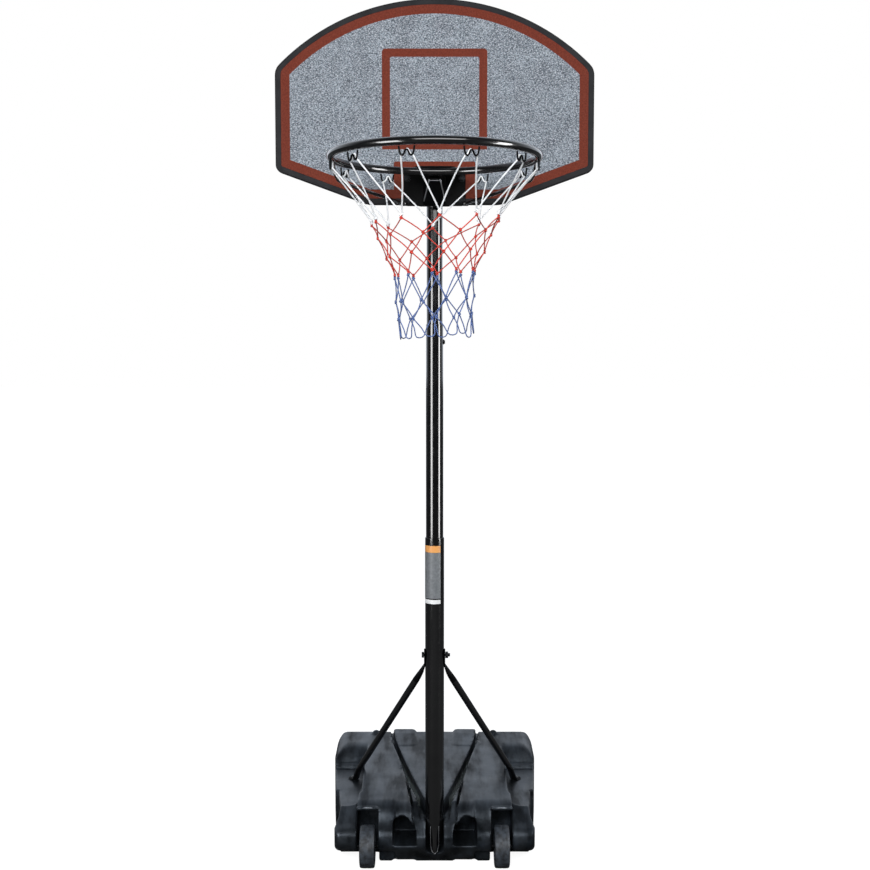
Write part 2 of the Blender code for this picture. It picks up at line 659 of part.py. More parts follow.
def build_brackets(parent, back, steel, paint):
    """Hat-section brackets behind the board, clamped to the pole by a U-bolt each."""
    crown = -UPPER_R - GAP
    sheet, half, hat = BRACKET_SHEET, 0.076, 0.036
    seat = back + GAP
    for word, low, high in (("lower", 1.540, 1.610), ("upper", 1.785, 1.825)):
        outer = [(-half, seat), (-hat, seat), (-hat + 0.006, crown - sheet),
                 (hat - 0.006, crown - sheet), (hat, seat), (half, seat)]
        inner = [(half, seat + sheet), (hat + 0.002, seat + sheet), (hat - 0.004, crown),
                 (-hat + 0.004, crown), (-hat - 0.002, seat + sheet), (-half, seat + sheet)]
        bracket = piece("board_bracket_" + word, prism_z(outer + inner, low, high), paint, parent,
                        crease=20)
        middle = (low + high) / 2
        reach = UPPER_R + 0.0035
        for side in (-1, 1):
            cut(bracket, cross_hole(0.0034, -0.06, 0.02, 'Y'), parent,
                "u_hole_%d" % side, (side * reach, 0, middle))
            spots = BOLT_ZS if word == "lower" else (middle,)
            for i, z in enumerate(spots):
                cut(bracket, cross_hole(PLATE_HOLE_R, -0.06, 0.02, 'Y'), parent,
                    "hole_%d_%d" % (side, i), (side * BOLT_X, 0, z))
        bend = arc((0, 0), reach, 0, 180, 10)
        tail = crown - sheet - 0.0085
        path = [(reach, tail), (reach, -0.008)] + bend + [(-reach, -0.008), (-reach, tail)]
        piece("u_bolt_" + word, sweep([(x, y, middle) for x, y in path], 0.003, 8), steel, parent)
        for side, hand in ((-1, "left"), (1, "right")):
            nut_face = crown - sheet - GAP
            nut = hex_nut(0.0030, 0.0058, nut_face - 0.005, nut_face, 'Y')
            piece("u_nut_%s_%s" % (word, hand), nut, steel, parent, (side * reach, 0, middle))
    for side, hand in ((-1, "left"), (1, "right")):
        under = seat + sheet + GAP
        screw = [(PLATE_BOLT_R, back + GAP), (PLATE_BOLT_R, under), (0.0070, under), (0.0062, under + 0.003),
                 (0.0030, under + 0.0045)]
        piece("bracket_screw_" + hand, solid_turned(screw, 12, 'Y'), steel, parent,
              (side * BOLT_X, 0, 1.805))


def build_ring(parent, paint, steel):
    plate_back = BOARD_FRONT_Y + SHEET_RECESS - 2 * GAP - SHEET_THICK
    plate_face = plate_back - PLATE_THICK
    tip = RING_Y + RING_R + RING_TUBE
    low, chamfer = PLATE_LOW_Z, 0.008
    shelf_z = RING_Z + RING_TUBE + GAP
    top = shelf_z + PLATE_THICK
    front = plate_face - GAP
    wide, narrow = PLATE_HALF, 0.040
    sections = []
    for x in (-wide, -wide + chamfer, -narrow, narrow, wide - chamfer, wide):
        reach = (wide - abs(x)) / (wide - narrow) * (front - tip + 0.009) + 0.004
        foot = low + chamfer if abs(x) == wide else low
        fold = [(plate_back, foot), (plate_back, top), (plate_face - reach, top),
                (plate_face - reach, shelf_z), (plate_face, shelf_z), (plate_face, foot)]
        sections.append([Vector((x, y, z)) for y, z in fold])
    plate = piece("ring_plate", loft(sections), paint, parent, crease=20)
    for x in (-BOLT_X, BOLT_X):
        for z in BOLT_ZS:
            cut(plate, cross_hole(PLATE_HOLE_R, plate_face - 0.01, 0.0, 'Y'), parent,
                "hole_%d_%d" % (1000 * x, 1000 * z), (x, 0, z))
    build_gusset(parent, paint, front, shelf_z - GAP)
    loop = ellipse((0, RING_Y, RING_Z), (RING_R, 0, 0), (0, RING_R, 0), 60)
    bar = sweep(loop, RING_TUBE, 12, closed=True, start=Vector((0, 0, 1)))
    piece("ring", bar, paint, parent, crease=60)
    under = RING_Z - RING_TUBE - 0.0035 - GAP
    for side, word in ((-1, "left"), (1, "right")):
        path = [(0.2043, RING_Y + 0.036, under), (0.2035, RING_Y + 0.042, under - 0.010),
                (0.199, RING_Y + 0.052, under - 0.022), (0.188, RING_Y + 0.066, under - 0.030),
                (0.0745, front - 0.0085, PLATE_LOW_Z + 0.0065),
                (0.0665, front - 0.0038, PLATE_LOW_Z + 0.0055)]
        piece("ring_brace_" + word, sweep([(side * x, y, z) for x, y, z in path], 0.0035, 10),
              paint, parent, crease=60)
    for i in range(HOOKS):
        build_hook(parent, paint, i)
    for x in (-BOLT_X, BOLT_X):
        for z in BOLT_ZS:
            build_plate_bolt(parent, steel, x, z, front)


def build_gusset(parent, paint, back, top):
    """Folded channel from the plate's foot up to the underside of the ring."""
    sheet = 0.0025
    tip_y = back - 0.060
    nose = RING_Z - RING_TUBE - 0.006

    def wedge(grow):
        wide, narrow = 0.0255 - grow, 0.0120 - grow
        low = PLATE_LOW_Z + 0.001
        rear = back if grow == 0 else back + 0.01
        high = top - 0.009
        return [[Vector((s * wide, rear, low - grow)), Vector((s * narrow, tip_y + grow * 1.6, nose)),
                 Vector((s * narrow, tip_y + grow * 1.6, high + grow * 4)),
                 Vector((s * wide, rear, high + grow * 4))] for s in (-1, 1)]

    gusset = piece("ring_gusset", loft(wedge(0.0)), paint, parent, crease=20)
    hollow = wedge(sheet)
    for loop in hollow:
        loop[0].z += 2.4 * sheet
        loop[1].z += 1.2 * sheet
    cut(gusset, loft(hollow), parent, "fold")


def hook_angle(i):
    """Angle of a hook from the front of the ring, with the widest space at the back."""
    return (i - (HOOKS - 1) / 2) * HOOK_STEP


def on_ring(angle, radius, along, z):
    """A point near the ring: angle from the front, then a step along the tangent."""
    out = Vector((math.sin(angle), -math.cos(angle), 0))
    tangent = Vector((math.cos(angle), math.sin(angle), 0))
    return Vector((0, RING_Y, z)) + out * radius + tangent * along


def build_hook(parent, paint, i):
    """W-shaped wire under the ring; the cord lies in its two valleys."""
    top = RING_Z - RING_TUBE - HOOK_WIRE - GAP
    shape = [(-0.0200, 0.0), (-0.0185, -0.006), (-0.0160, -0.014), (-0.0115, -HOOK_DROP),
             (-0.0070, -0.014), (-0.0040, -0.007), (0.0, -0.0035)]
    shape += [(-x, z) for x, z in shape[-2::-1]]
    path = [on_ring(hook_angle(i), RING_R, x, top + z) for x, z in shape]
    piece("net_hook_%02d" % (i + 1), sweep(path, HOOK_WIRE, 6), paint, parent, crease=70)


def build_plate_bolt(parent, steel, x, z, front):
    """Hexagon bolt through plate, sheet, board and lower bracket, with its nut."""
    word = ("left" if x < 0 else "right") + ("_low" if z == BOLT_ZS[0] else "_high")
    rear = BOARD_FRONT_Y + BOARD_THICK + 2 * GAP + BRACKET_SHEET
    shank = PLATE_BOLT_R
    bolt = [(0.0060, front - 0.0050), (0.0060, front), (shank, front), (shank, rear + 0.0075)]
    piece("plate_bolt_" + word, solid_turned(bolt, 12, 'Y'), steel, parent, (x, 0, z))
    nut = hex_nut(PLATE_BOLT_R, 0.0066, rear, rear + 0.005, 'Y')
    piece("plate_nut_" + word, nut, steel, parent, (x, 0, z))


def build_net(parent, white, red, blue):
    """White hanging cord from hook to hook, then a red and a blue diamond mesh below it."""
    cord_z = RING_Z - RING_TUBE - HOOK_DROP + 0.0035
    knot_z, knot_r = NET_ROWS[0]
    hang_r = RING_R - 0.0048
    over_hook = ((-0.0120, 0.0), (-0.0080, 0.005), (0.0080, 0.005), (0.0120, 0.0))
    round_knot = ((-0.0052, 0.004), (-0.0036, -0.001), (0.0036, -0.001), (0.0052, 0.004))
    path, swell = [], {}
    for i in range(HOOKS):
        path += [on_ring(hook_angle(i), hang_r, x, cord_z + z) for x, z in over_hook]
        swell.update({len(path) + 1: 1.25, len(path) + 2: 1.25})
        path += [on_ring(net_angle(i), knot_r, x, knot_z + z) for x, z in round_knot]
    cords = sweep(path, WHITE_CORD_R, 6, closed=True, swell=swell)
    piece("net_white_cords", cords, white, parent, crease=70)
    red_top = (knot_z - KNOT_DROP, knot_r - 0.003)
    blue_top = (NET_ROWS[2][0] - KNOT_DROP, NET_ROWS[2][1])
    lattice("net_red_mesh", parent, red, (red_top, NET_ROWS[1], NET_ROWS[2]))
    lattice("net_blue_mesh", parent, blue, (blue_top, NET_ROWS[3], NET_ROWS[4]))


def net_angle(i):
    """Angle halfway between one hook and the next, the last one straight behind."""
    if i == HOOKS - 1:
        return math.pi
    return (hook_angle(i) + hook_angle(i + 1)) / 2


def lattice(name, parent, material, rows):
    """Diamond mesh: eight-sided knots joined across their slanting sides by square cords."""
    bm = bmesh.new()
    knots = []
    half = NET_CORD / 2
    reach = half / math.tan(math.radians(22.5)) / math.cos(math.radians(22.5))
    for row, (z, radius) in enumerate(rows):
        offset = row % 2 == 0
        ring = []
        for i in range(HOOKS):
            angle = net_angle(i) if offset else hook_angle(i)
            corners = []
            for depth in (-half, half):
                spots = [22.5 + 45 * k for k in range(8)]
                corners.append([bm.verts.new(on_ring(angle, radius + depth,
                                                     reach * math.cos(math.radians(a)),
                                                     z + reach * math.sin(math.radians(a))))
                                for a in spots])
            ring.append(corners)
        knots.append((offset, ring))
    used = set()

    def strand(above, below, sign):
        """Cord from a knot's lower corner to the next row's upper one, to its right or left."""
        here, there = (6, 7) if sign > 0 else (5, 4)
        far_a, far_b = (3, 2) if sign > 0 else (0, 1)
        loops = []
        for knot, pair in ((above, (here, there)), (below, (far_a, far_b))):
            inner, outer = knot
            loops.append([inner[pair[0]], inner[pair[1]], outer[pair[1]], outer[pair[0]]])
        for k in range(4):
            m = (k + 1) % 4
            bm.faces.new((loops[0][k], loops[0][m], loops[1][m], loops[1][k]))

    for row in range(len(rows) - 1):
        offset, ring = knots[row]
        below = knots[row + 1][1]
        for i in range(HOOKS):
            right, left = ((i + 1) % HOOKS, i) if offset else (i, (i - 1) % HOOKS)
            strand(ring[i], below[right], 1)
            strand(ring[i], below[left], -1)
            used.update({(row, i, 6), (row, i, 4), (row + 1, right, 2), (row + 1, left, 0)})
    for row, (offset, ring) in enumerate(knots):
        for i, (inner, outer) in enumerate(ring):
            bm.faces.new(inner)
            bm.faces.new(outer)
            for k in range(8):
                m = (k + 1) % 8
                if (row, i, k) not in used:
                    bm.faces.new((inner[k], inner[m], outer[m], outer[k]))
    piece(name, bm, material, parent, crease=70)


def build():
    clear_scene()
    plastic = finish("tank_plastic", 0.032, 0.034, 0.038, 0.45, 0.0)
    rubber = finish("wheel_plastic", 0.075, 0.080, 0.090, 0.55, 0.0)
    steel = finish("dark_steel", 0.030, 0.030, 0.032, 0.40, 0.8)
    paint = finish("black_paint", 0.012, 0.012, 0.013, 0.30, 0.0)
    water = finish("water", 0.30, 0.42, 0.48, 0.1, 0.0)
    printed = finish("board_print", 0.27, 0.30, 0.33, 0.5, 0.0)
    edging = finish("board_plastic", 0.030, 0.028, 0.028, 0.5, 0.0)
    white = finish("white_cord", 0.80, 0.80, 0.78, 0.9, 0.0)
    red = finish("red_cord", 0.60, 0.05, 0.05, 0.9, 0.0)
    blue = finish("blue_cord", 0.03, 0.12, 0.55, 0.9, 0.0)

    PLACES["stand"] = Vector((0, 0, 0))
    stand = bpy.data.objects.new("stand", None)
    bpy.context.collection.objects.link(stand)
    stand.location = (0, STAND_Y, 0)
    middle = empty("middle_slide", (0, 0, LOWER_TOP_Z), stand)
    upper = empty("upper_slide", (0, 0, MIDDLE_TOP_Z), middle)

    build_base(stand, plastic, steel, water, rubber)
    build_pole(stand, middle, upper, paint, plastic, steel)
    build_struts(stand, paint, steel)
    build_board(upper, edging, printed, steel, paint)
    build_ring(upper, paint, steel)
    build_net(upper, white, red, blue)


build()
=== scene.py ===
"""Looks of the portable basketball stand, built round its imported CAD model.
Metres, +Z up, the player on the -Y side. Shapes are worked out from the pole's axis, which
stands POLE_Y behind the origin, and keep to the places that the CAD nodes give."""

import math
import random

import bmesh
import bpy
import numpy as np
from mathutils import Matrix, Vector
from mathutils.geometry import delaunay_2d_cdt


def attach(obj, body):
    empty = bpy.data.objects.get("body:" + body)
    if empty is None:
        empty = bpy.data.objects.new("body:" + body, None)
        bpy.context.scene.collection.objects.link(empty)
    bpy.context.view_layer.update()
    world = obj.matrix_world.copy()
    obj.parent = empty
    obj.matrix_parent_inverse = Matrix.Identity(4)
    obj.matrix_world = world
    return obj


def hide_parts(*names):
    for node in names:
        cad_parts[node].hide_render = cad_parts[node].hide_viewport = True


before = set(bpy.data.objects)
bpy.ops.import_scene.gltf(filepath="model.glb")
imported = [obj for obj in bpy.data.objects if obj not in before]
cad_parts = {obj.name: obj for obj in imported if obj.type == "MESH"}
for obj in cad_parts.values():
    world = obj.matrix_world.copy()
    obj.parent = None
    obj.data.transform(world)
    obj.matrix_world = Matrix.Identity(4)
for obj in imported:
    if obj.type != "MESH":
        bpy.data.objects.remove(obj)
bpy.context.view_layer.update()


# ------------------------------------------------------------------ ballast tank
# The tank is one blow-moulded polyethylene shell that is filled with water. Blow moulding
# leaves every edge round and every face a little wavy, so it is made as one distance field
# whose cuts and joins are rounded, and the skin is drawn on the field's zero surface.
# Heights are above the floor and depths behind the pole's axis. DRUM and BOSS are round forms
# across x as (y, z, radius), LUMP is (x, y, half width, half depth), KNOB (x, y, z, radius),
# SLOT_LIP (x, half length, y, z, radius), and REAR_FLANK (half width, its growth, its limit).
POLE_Y = 0.0475
DECK_Z, DECK_SLOPE = 0.150, 0.0634
FRONT_Y, REAR_Y = -0.042, 0.455
CORNER_R, REAR_R, SIDE_R, FRONT_SIDE_R = 0.045, 0.030, 0.042, 0.016
LEDGE_Z, LEDGE_IN, LEDGE_FRONT_Y = 0.125, 0.178, 0.032
DRUM = (0.388, 0.0785, 0.103)
DRUM_STEP_Y, DRUM_STEP_Z = 0.289, 0.1335
FLANK_Y, FLANK_HALF, FLANK_TAPER, FLANK_FLARE = 0.139, 0.2380, 0.0900, 0.0140
REAR_FLANK = (0.2329, 0.0907, 0.2645)
LUMP, LUMP_RISE = (0.083, 0.385, 0.032, 0.052), 0.0065
KNOB = (0.158, 0.418, 0.175, 0.011)
SLOT_IN, SLOT_OUT, SLOT_REAR_Y, SLOT_TOP_Z = 0.133, 0.183, 0.045, 0.139
SLOT_LIP = (0.158, 0.021, -0.0195, 0.1405, 0.0052)
BOSS_IN, BOSS_R, BOSS_FOOT_Z = 0.0936, 0.030, 0.036
BOSS = (-0.011, 0.067, 0.031)
FACE_TILT = (-0.488, 0.873)
CHANNEL_HALF, CHANNEL_FLOOR_Z, FOOT_RISE = 0.0225, 0.030, 0.005
PITCH, SWELL = 0.0036, 0.0005
TANK_BOX = ((-0.284, -0.056, -0.012), (0.284, 0.470, 0.198))
# Paths in plan for half the tank as (x, y), and their width or depth along y
GROOVE = ((0.022, -0.030), (0.026, -0.010), (0.073, 0.190), (0.106, 0.355), (0.114, 0.423),
          (0.118, 0.470))
GROOVE_WIDE = ((-0.02, 0.20, 0.34, 0.37, 0.46), (0.0080, 0.0068, 0.0060, 0.0040, 0.0032))
GROOVE_DEEP = ((0.32, 0.37, 0.43, 0.448), (0.030, 0.016, 0.010, 0.0005))
FOLD_END_Y = 0.215
FOLD = ((0.046, -0.060), (0.053, -0.010), (0.066, 0.100), (0.080, FOLD_END_Y))
CREASE_DEEP = ((0.006, 0.026, 0.09, 0.11), (0.003, 0.013, 0.010, 0.0))
ARCH = ((0.0985, 0.057), (0.0985, 0.106), (0.0960, 0.116), (0.0900, 0.1225), (0.0800, 0.1255),
        (0.0700, 0.1255), (0.0620, 0.1215), (0.0555, 0.113), (0.0490, 0.102), (0.0440, 0.090),
        (0.0430, 0.075), (0.0430, 0.057))


def both(a, b, r=0.0):
    """Common part of two distance fields, with an outer corner of radius r."""
    if not r:
        return np.maximum(a, b)
    bend = np.hypot(np.maximum(a + r, 0), np.maximum(b + r, 0))
    return np.minimum(-r, np.maximum(a, b)) + bend


def either(a, b, r=0.0):
    """Sum of two distance fields, with an inner corner of radius r."""
    return -both(-a, -b, r)


def without(a, cut, r=0.0):
    """A field less another, with an outer corner of radius r along the cut."""
    return both(a, -cut, r)


def from_line(u, v, points):
    """Distance from an open line of points in a plane."""
    best = np.full(np.broadcast(u, v).shape, 9.0, np.float32)
    for (au, av), (bu, bv) in zip(points, points[1:]):
        du, dv = bu - au, bv - av
        share = np.clip(((u - au) * du + (v - av) * dv) / (du * du + dv * dv), 0, 1)
        best = np.minimum(best, np.hypot(u - au - share * du, v - av - share * dv))
    return best


def from_outline(u, v, points):
    """Signed distance from a closed outline in a plane, negative inside."""
    best = from_line(u, v, list(points) + [points[0]])
    inside = np.zeros(best.shape, bool)
    for (au, av), (bu, bv) in zip(points, list(points[1:]) + [points[0]]):
        if av != bv:
            crosses = ((av > v) != (bv > v)) & (u < au + (v - av) * (bu - au) / (bv - av))
            inside ^= crosses
    return np.where(inside, -best, best)


def tank_field(x, y, z):
    """Signed distance from the tank's skin, negative inside, about the pole's foot."""
    x = np.abs(x)
    deck = DECK_Z + DECK_SLOPE * y
    top = (z - deck) * 0.998
    rear_half = np.minimum(REAR_FLANK[0] + REAR_FLANK[1] * y, REAR_FLANK[2])
    flare = np.clip((0.122 - z) / 0.035, 0, 1) * np.clip((0.045 - y) / 0.05, 0, 1)
    front_half = FLANK_HALF - FLANK_TAPER * (FLANK_Y - y) + FLANK_FLARE * flare
    blend = np.clip((y - FLANK_Y + 0.004) / 0.008, 0, 1)
    side = x - (front_half + (rear_half - front_half) * blend * blend * (3 - 2 * blend))
    front = FRONT_Y + 0.008 * np.clip((x - 0.0900) / 0.006, 0, 1) - y
    rear = y - REAR_Y
    body = np.maximum.reduce([
        both(top, front, CORNER_R), both(top, rear, REAR_R), both(top, side, SIDE_R),
        both(front, side, FRONT_SIDE_R), both(rear, side, SIDE_R)])
    # Two low lumps and two round knobs stand on the rear of the deck
    mid_x, mid_y, half_x, half_y = LUMP
    rise = LUMP_RISE * np.clip((y - 0.335) / 0.07, 0, 1)
    lump = both(both(np.abs(x - mid_x) - half_x, np.abs(y - mid_y) - half_y, 0.012),
                z - deck - rise, 0.004)
    body = either(body, lump, 0.006)
    knob = np.hypot(np.hypot(x - KNOB[0], y - KNOB[1]), z - KNOB[2]) - KNOB[3]
    body = either(body, knob, 0.005)
    # Side ledge, and the drum with its low step that stays up behind it
    step = both(DRUM_STEP_Y - y, z - DRUM_STEP_Z - 0.12 * (y - DRUM_STEP_Y), 0.002)
    crown = np.hypot(y - DRUM[0], z - DRUM[1]) - DRUM[2]
    drum = either(either(step, crown, 0.003), np.maximum(DRUM[0] - y, z - DRUM[1] - DRUM[2]))
    plan = both(LEDGE_IN - x, LEDGE_FRONT_Y - y, 0.034)
    ledge = both(both(LEDGE_Z - z, plan, 0.007), -drum, 0.003)
    body = without(body, ledge, 0.0045)
    # Sloping face of the outer boss, rounded into its front
    face = (y - LEDGE_FRONT_Y) * FACE_TILT[0] + (z - LEDGE_Z) * FACE_TILT[1]
    body = without(body, both(-both(face, FRONT_Y - y, BOSS_R), SLOT_OUT - x), 0.003)
    boss = both(np.hypot(y - BOSS[0], z - BOSS[1]) - BOSS[2], BOSS_IN - x, 0.004)
    body = either(body, both(boss, side, 0.012), 0.003)
    # Open space under the bosses, and the slot for the wheel between them
    nose = -both(both(FRONT_Y - y, BOSS_FOOT_Z - z, 0.028), side, 0.014)
    body = without(body, both(both(nose, BOSS_IN - x, 0.006), y - 0.004), 0.004)
    belly = both(both(nose, 0.1335 - x, 0.006), y - 0.055, 0.006)
    body = without(body, belly, 0.005)
    slot = both(both(np.abs(x - (SLOT_IN + SLOT_OUT) / 2) - (SLOT_OUT - SLOT_IN) / 2,
                     y - SLOT_REAR_Y, 0.008), z - SLOT_TOP_Z, 0.006)
    body = without(body, slot, 0.0035)
    mid_x, half_x, lip_y, lip_z, lip_r = SLOT_LIP
    lip = np.hypot(np.maximum(np.abs(x - mid_x) - half_x, 0), np.hypot(y - lip_y, z - lip_z))
    body = either(body, lip - lip_r, 0.001)
    # Chin that slopes back under the front face, and the flat underside with its low feet
    chin = -(y - 0.005) * 0.760 - z * 0.650
    body = both(body, chin, 0.006)
    sole = -z + FOOT_RISE * np.clip((0.030 - np.abs(x - 0.073)) / 0.006, 0, 1) * (y < 0.06)
    body = both(body, sole, 0.007)
    # Arched hollows with a drawn-back floor, and the channel that the pole stands in
    arch = both(from_outline(x, z, ARCH), y - 0.050, 0.001)
    body = without(body, arch, 0.002)
    trough = np.where(z > CHANNEL_FLOOR_Z + CHANNEL_HALF, x - CHANNEL_HALF,
                      np.hypot(x, z - CHANNEL_FLOOR_Z - CHANNEL_HALF) - CHANNEL_HALF)
    well = np.hypot(x, np.maximum(y - 0.001, 0)) - CHANNEL_HALF
    body = without(body, both(trough, well, 0.004), 0.0035)
    # V grooves with a bead beside them, and the fold round the pole's socket
    line = from_line(x, y, GROOVE) - np.interp(y, *GROOVE_WIDE)
    bead = np.hypot(from_line(x - 0.0095, y, GROOVE[2:4]), z - deck + 0.0015) - 0.0042
    body = either(body, bead, 0.003)
    depth = np.interp(y, *GROOVE_DEEP)
    body = without(body, np.maximum.reduce([line, -body - depth, deck - 0.040 - z]), 0.0015)
    fold_x, inner_x = (np.interp(y, [b for a, b in path], [a for a, b in path])
                       for path in (FOLD, GROOVE))
    sunk = deck - 0.0085 * np.clip((FOLD_END_Y - y) / 0.13, 0, 1) - np.maximum(0.018 - y, 0)
    valley = np.maximum.reduce([x - fold_x, inner_x - x, sunk - z, y - FOLD_END_Y])
    body = without(body, valley, 0.0030)
    sink = np.interp(y, *CREASE_DEEP)
    crease = np.maximum.reduce([from_line(x, y, FOLD) - 0.0034, -body - sink, deck - 0.030 - z])
    body = without(body, crease, 0.0025)
    # Long low swells that moulding leaves on the broad faces
    return body + SWELL * np.sin(x * 31 + 1.7) * np.sin(y * 27 + 0.4)


def skin_of(field, low, pitch):
    """Quads on the zero surface of a sampled field, one point for each cell it crosses."""
    shape = np.array(field.shape)
    cells = shape - 1
    total = np.zeros(tuple(cells) + (3,), np.float32)
    count = np.zeros(tuple(cells), np.float32)
    for axis in range(3):
        for u in (0, 1):
            for v in (0, 1):
                near = [0, 0, 0]
                near[(axis + 1) % 3], near[(axis + 2) % 3] = u, v
                far = list(near)
                far[axis] = 1
                a, b = (field[tuple(slice(s, s + n) for s, n in zip(start, cells))]
                        for start in (near, far))
                crossed = (a < 0) != (b < 0)
                share = np.where(crossed, a / np.where(crossed, a - b, 1), 0)
                count += crossed
                for t in range(3):
                    total[..., t] += crossed * (share if t == axis else near[t])
    used = count > 0
    number = np.full(tuple(cells), -1)
    number[used] = np.arange(used.sum())
    points = low + pitch * (np.argwhere(used) + total[used] / count[used][:, None])
    quads = []
    for axis in range(3):
        u, v = (axis + 1) % 3, (axis + 2) % 3

        def window(back_u, back_v, forward=0):
            cut = [None] * 3
            cut[axis] = slice(forward, shape[axis] - 1 + forward)
            cut[u] = slice(1 - back_u, shape[u] - 1 - back_u)
            cut[v] = slice(1 - back_v, shape[v] - 1 - back_v)
            return tuple(cut)

        near, far = field[window(0, 0)] < 0, field[window(0, 0, 1)] < 0
        ring = [number[window(*back)] for back in ((1, 1), (0, 1), (0, 0), (1, 0))]
        for crossed, order in ((near & ~far, (0, 1, 2, 3)), (far & ~near, (3, 2, 1, 0))):
            quads.append(np.stack([ring[i][crossed] for i in order], 1))
    return points, np.concatenate(quads)


def settle(points, quads, field, rounds=4):
    """Even out the points along the surface, and bring each back onto it."""
    edges = np.concatenate([quads[:, [i, (i + 1) % 4]] for i in range(4)])
    ends = np.concatenate([edges, edges[:, ::-1]])
    degree = np.bincount(ends[:, 0], minlength=len(points))[:, None]
    step = 0.0005
    for _ in range(rounds):
        mean = np.stack([np.bincount(ends[:, 0], points[ends[:, 1], t], len(points))
                         for t in range(3)], 1) / degree
        points = points + (mean - points) * 0.6
        for _ in range(2):
            here = field(*points.T)
            slope = np.stack([field(*(points + step * np.eye(3)[t]).T) - here
                              for t in range(3)], 1) / step
            size = np.maximum((slope ** 2).sum(1), 0.25)[:, None]
            points = points - np.clip(here[:, None] * slope / size, -0.003, 0.003)
    return points


def linear(colour):
    """sRGB hex to the linear colour that a shader takes."""
    parts = [int(colour[i:i + 2], 16) / 255 for i in (1, 3, 5)]
    return [c / 12.92 if c <= 0.04045 else ((c + 0.055) / 1.055) ** 2.4 for c in parts] + [1.0]


def add(tree, kind, inputs=None, **settings):
    """Add one node with its settings. An input is a value, a socket that it links to, or a
    node whose first output it links to."""
    node = tree.nodes.new(kind)
    for key, value in settings.items():
        setattr(node, key, value)
    for key, value in (inputs or {}).items():
        if isinstance(value, bpy.types.Node):
            value = value.outputs[0]
        if isinstance(value, bpy.types.NodeSocket):
            tree.links.new(value, node.inputs[key])
        else:
            node.inputs[key].default_value = value
    return node


def new_finish(name, inputs):
    """A material on the Principled shader, with its tree and its Object coordinates."""
    material = bpy.data.materials.new(name)
    material.use_nodes = True
    tree = material.node_tree
    shader = tree.nodes["Principled BSDF"]
    for key, value in inputs.items():
        shader.inputs[key].default_value = value
    place = add(tree, "ShaderNodeTexCoord").outputs["Object"]
    return material, tree, shader, place


def patches(tree, place, size, low, high, detail=3.0, edge=(0.3, 0.7)):
    """A value that drifts between low and high in patches about size metres across."""
    noise = add(tree, "ShaderNodeTexNoise", {"Vector": place, "Scale": 1 / size,
                                             "Detail": detail, "Roughness": 0.55})
    spread = add(tree, "ShaderNodeMapRange", {"Value": noise.outputs["Fac"], "From Min": edge[0],
                                              "From Max": edge[1], "To Min": low, "To Max": high})
    return spread.outputs["Result"]


def tint(tree, share, first, second):
    """A colour between two hex colours."""
    mix = add(tree, "ShaderNodeMix", {0: share, 6: linear(first), 7: linear(second)},
              data_type='RGBA')
    return mix.outputs[2]


def grain(tree, shader, heights):
    """Bump on the shader from one or more (height socket, metres) pairs, one over the other."""
    normal = None
    for height, depth in heights:
        inputs = {"Height": height, "Distance": depth, "Strength": 1.0}
        if normal:
            inputs["Normal"] = normal
        normal = add(tree, "ShaderNodeBump", inputs).outputs["Normal"]
    tree.links.new(normal, shader.inputs["Normal"])


def plain_finish(name, inputs, colour, rough=None, bumps=()):
    """A finish that drifts in patches. colour is (dark, light, size), rough (low, high, size) and
    a bump (size, depth), each with the detail and the edges of its patches after that."""
    material, tree, shader, place = new_finish(name, inputs)
    dark, light, size, *shape = colour
    tree.links.new(tint(tree, patches(tree, place, size, 0.0, 1.0, *shape), dark, light),
                   shader.inputs["Base Color"])
    if rough:
        low, high, size, *shape = rough
        tree.links.new(patches(tree, place, size, low, high, *shape), shader.inputs["Roughness"])
    if bumps:
        grain(tree, shader, [(patches(tree, place, size, 0.0, 1.0, *shape), depth)
                             for size, depth, *shape in bumps])
    return material


def polyethylene():
    """Blow-moulded black polyethylene: a waxy half-gloss, with a slate bloom in broad flow
    patches and a leathery mould grain. The grain is drawn at 2.2 mm, as coarse as it shows."""
    material, tree, shader, place = new_finish("blow_moulded_polyethylene", {"IOR": 1.48})
    streaks = add(tree, "ShaderNodeMapping", {"Vector": place, "Rotation": (0, 0, 0.12),
                                              "Scale": (1.0, 0.22, 0.8)})
    bloom = patches(tree, streaks, 0.050, 0.0, 1.0, 3.0, (0.38, 0.62))
    flow = patches(tree, streaks, 0.017, 0.0, 1.0, 4.0, (0.32, 0.68))
    both_marks = add(tree, "ShaderNodeMath", {0: bloom, 1: flow}, operation='MULTIPLY')
    tree.links.new(tint(tree, both_marks, "#0b0d0f", "#20252b"), shader.inputs["Base Color"])
    tree.links.new(patches(tree, place, 0.05, 0.40, 0.56, 4.0), shader.inputs["Roughness"])
    cloud = patches(tree, streaks, 0.038, 0.16, 1.0, 3.0, (0.38, 0.62))
    tree.links.new(cloud, shader.inputs["Specular IOR Level"])
    shader.inputs["Specular Tint"].default_value = linear("#d4e2f2")
    grain(tree, shader, ((patches(tree, streaks, 0.0022, 0.0, 1.0, 2.0), 0.00008),
                         (patches(tree, streaks, 0.030, 0.0, 1.0, 2.0), 0.0008)))
    return material


def mesh_piece(name, mesh, material, crease=None):
    """Link a finished mesh as a piece, smooth but for edges sharper than the crease angle."""
    if not mesh.materials:
        mesh.materials.append(material)
    mesh.shade_smooth()
    if crease:
        mesh.set_sharp_from_angle(angle=math.radians(crease))
    made = bpy.data.objects.new(name, mesh)
    bpy.context.scene.collection.objects.link(made)
    return made


def fit(made, body, slot, *nodes):
    """The piece moves with a CAD body and stands for CAD nodes, which it hides; slot is not used.
    """
    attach(made, body)
    if nodes:
        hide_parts(*nodes)
    return made


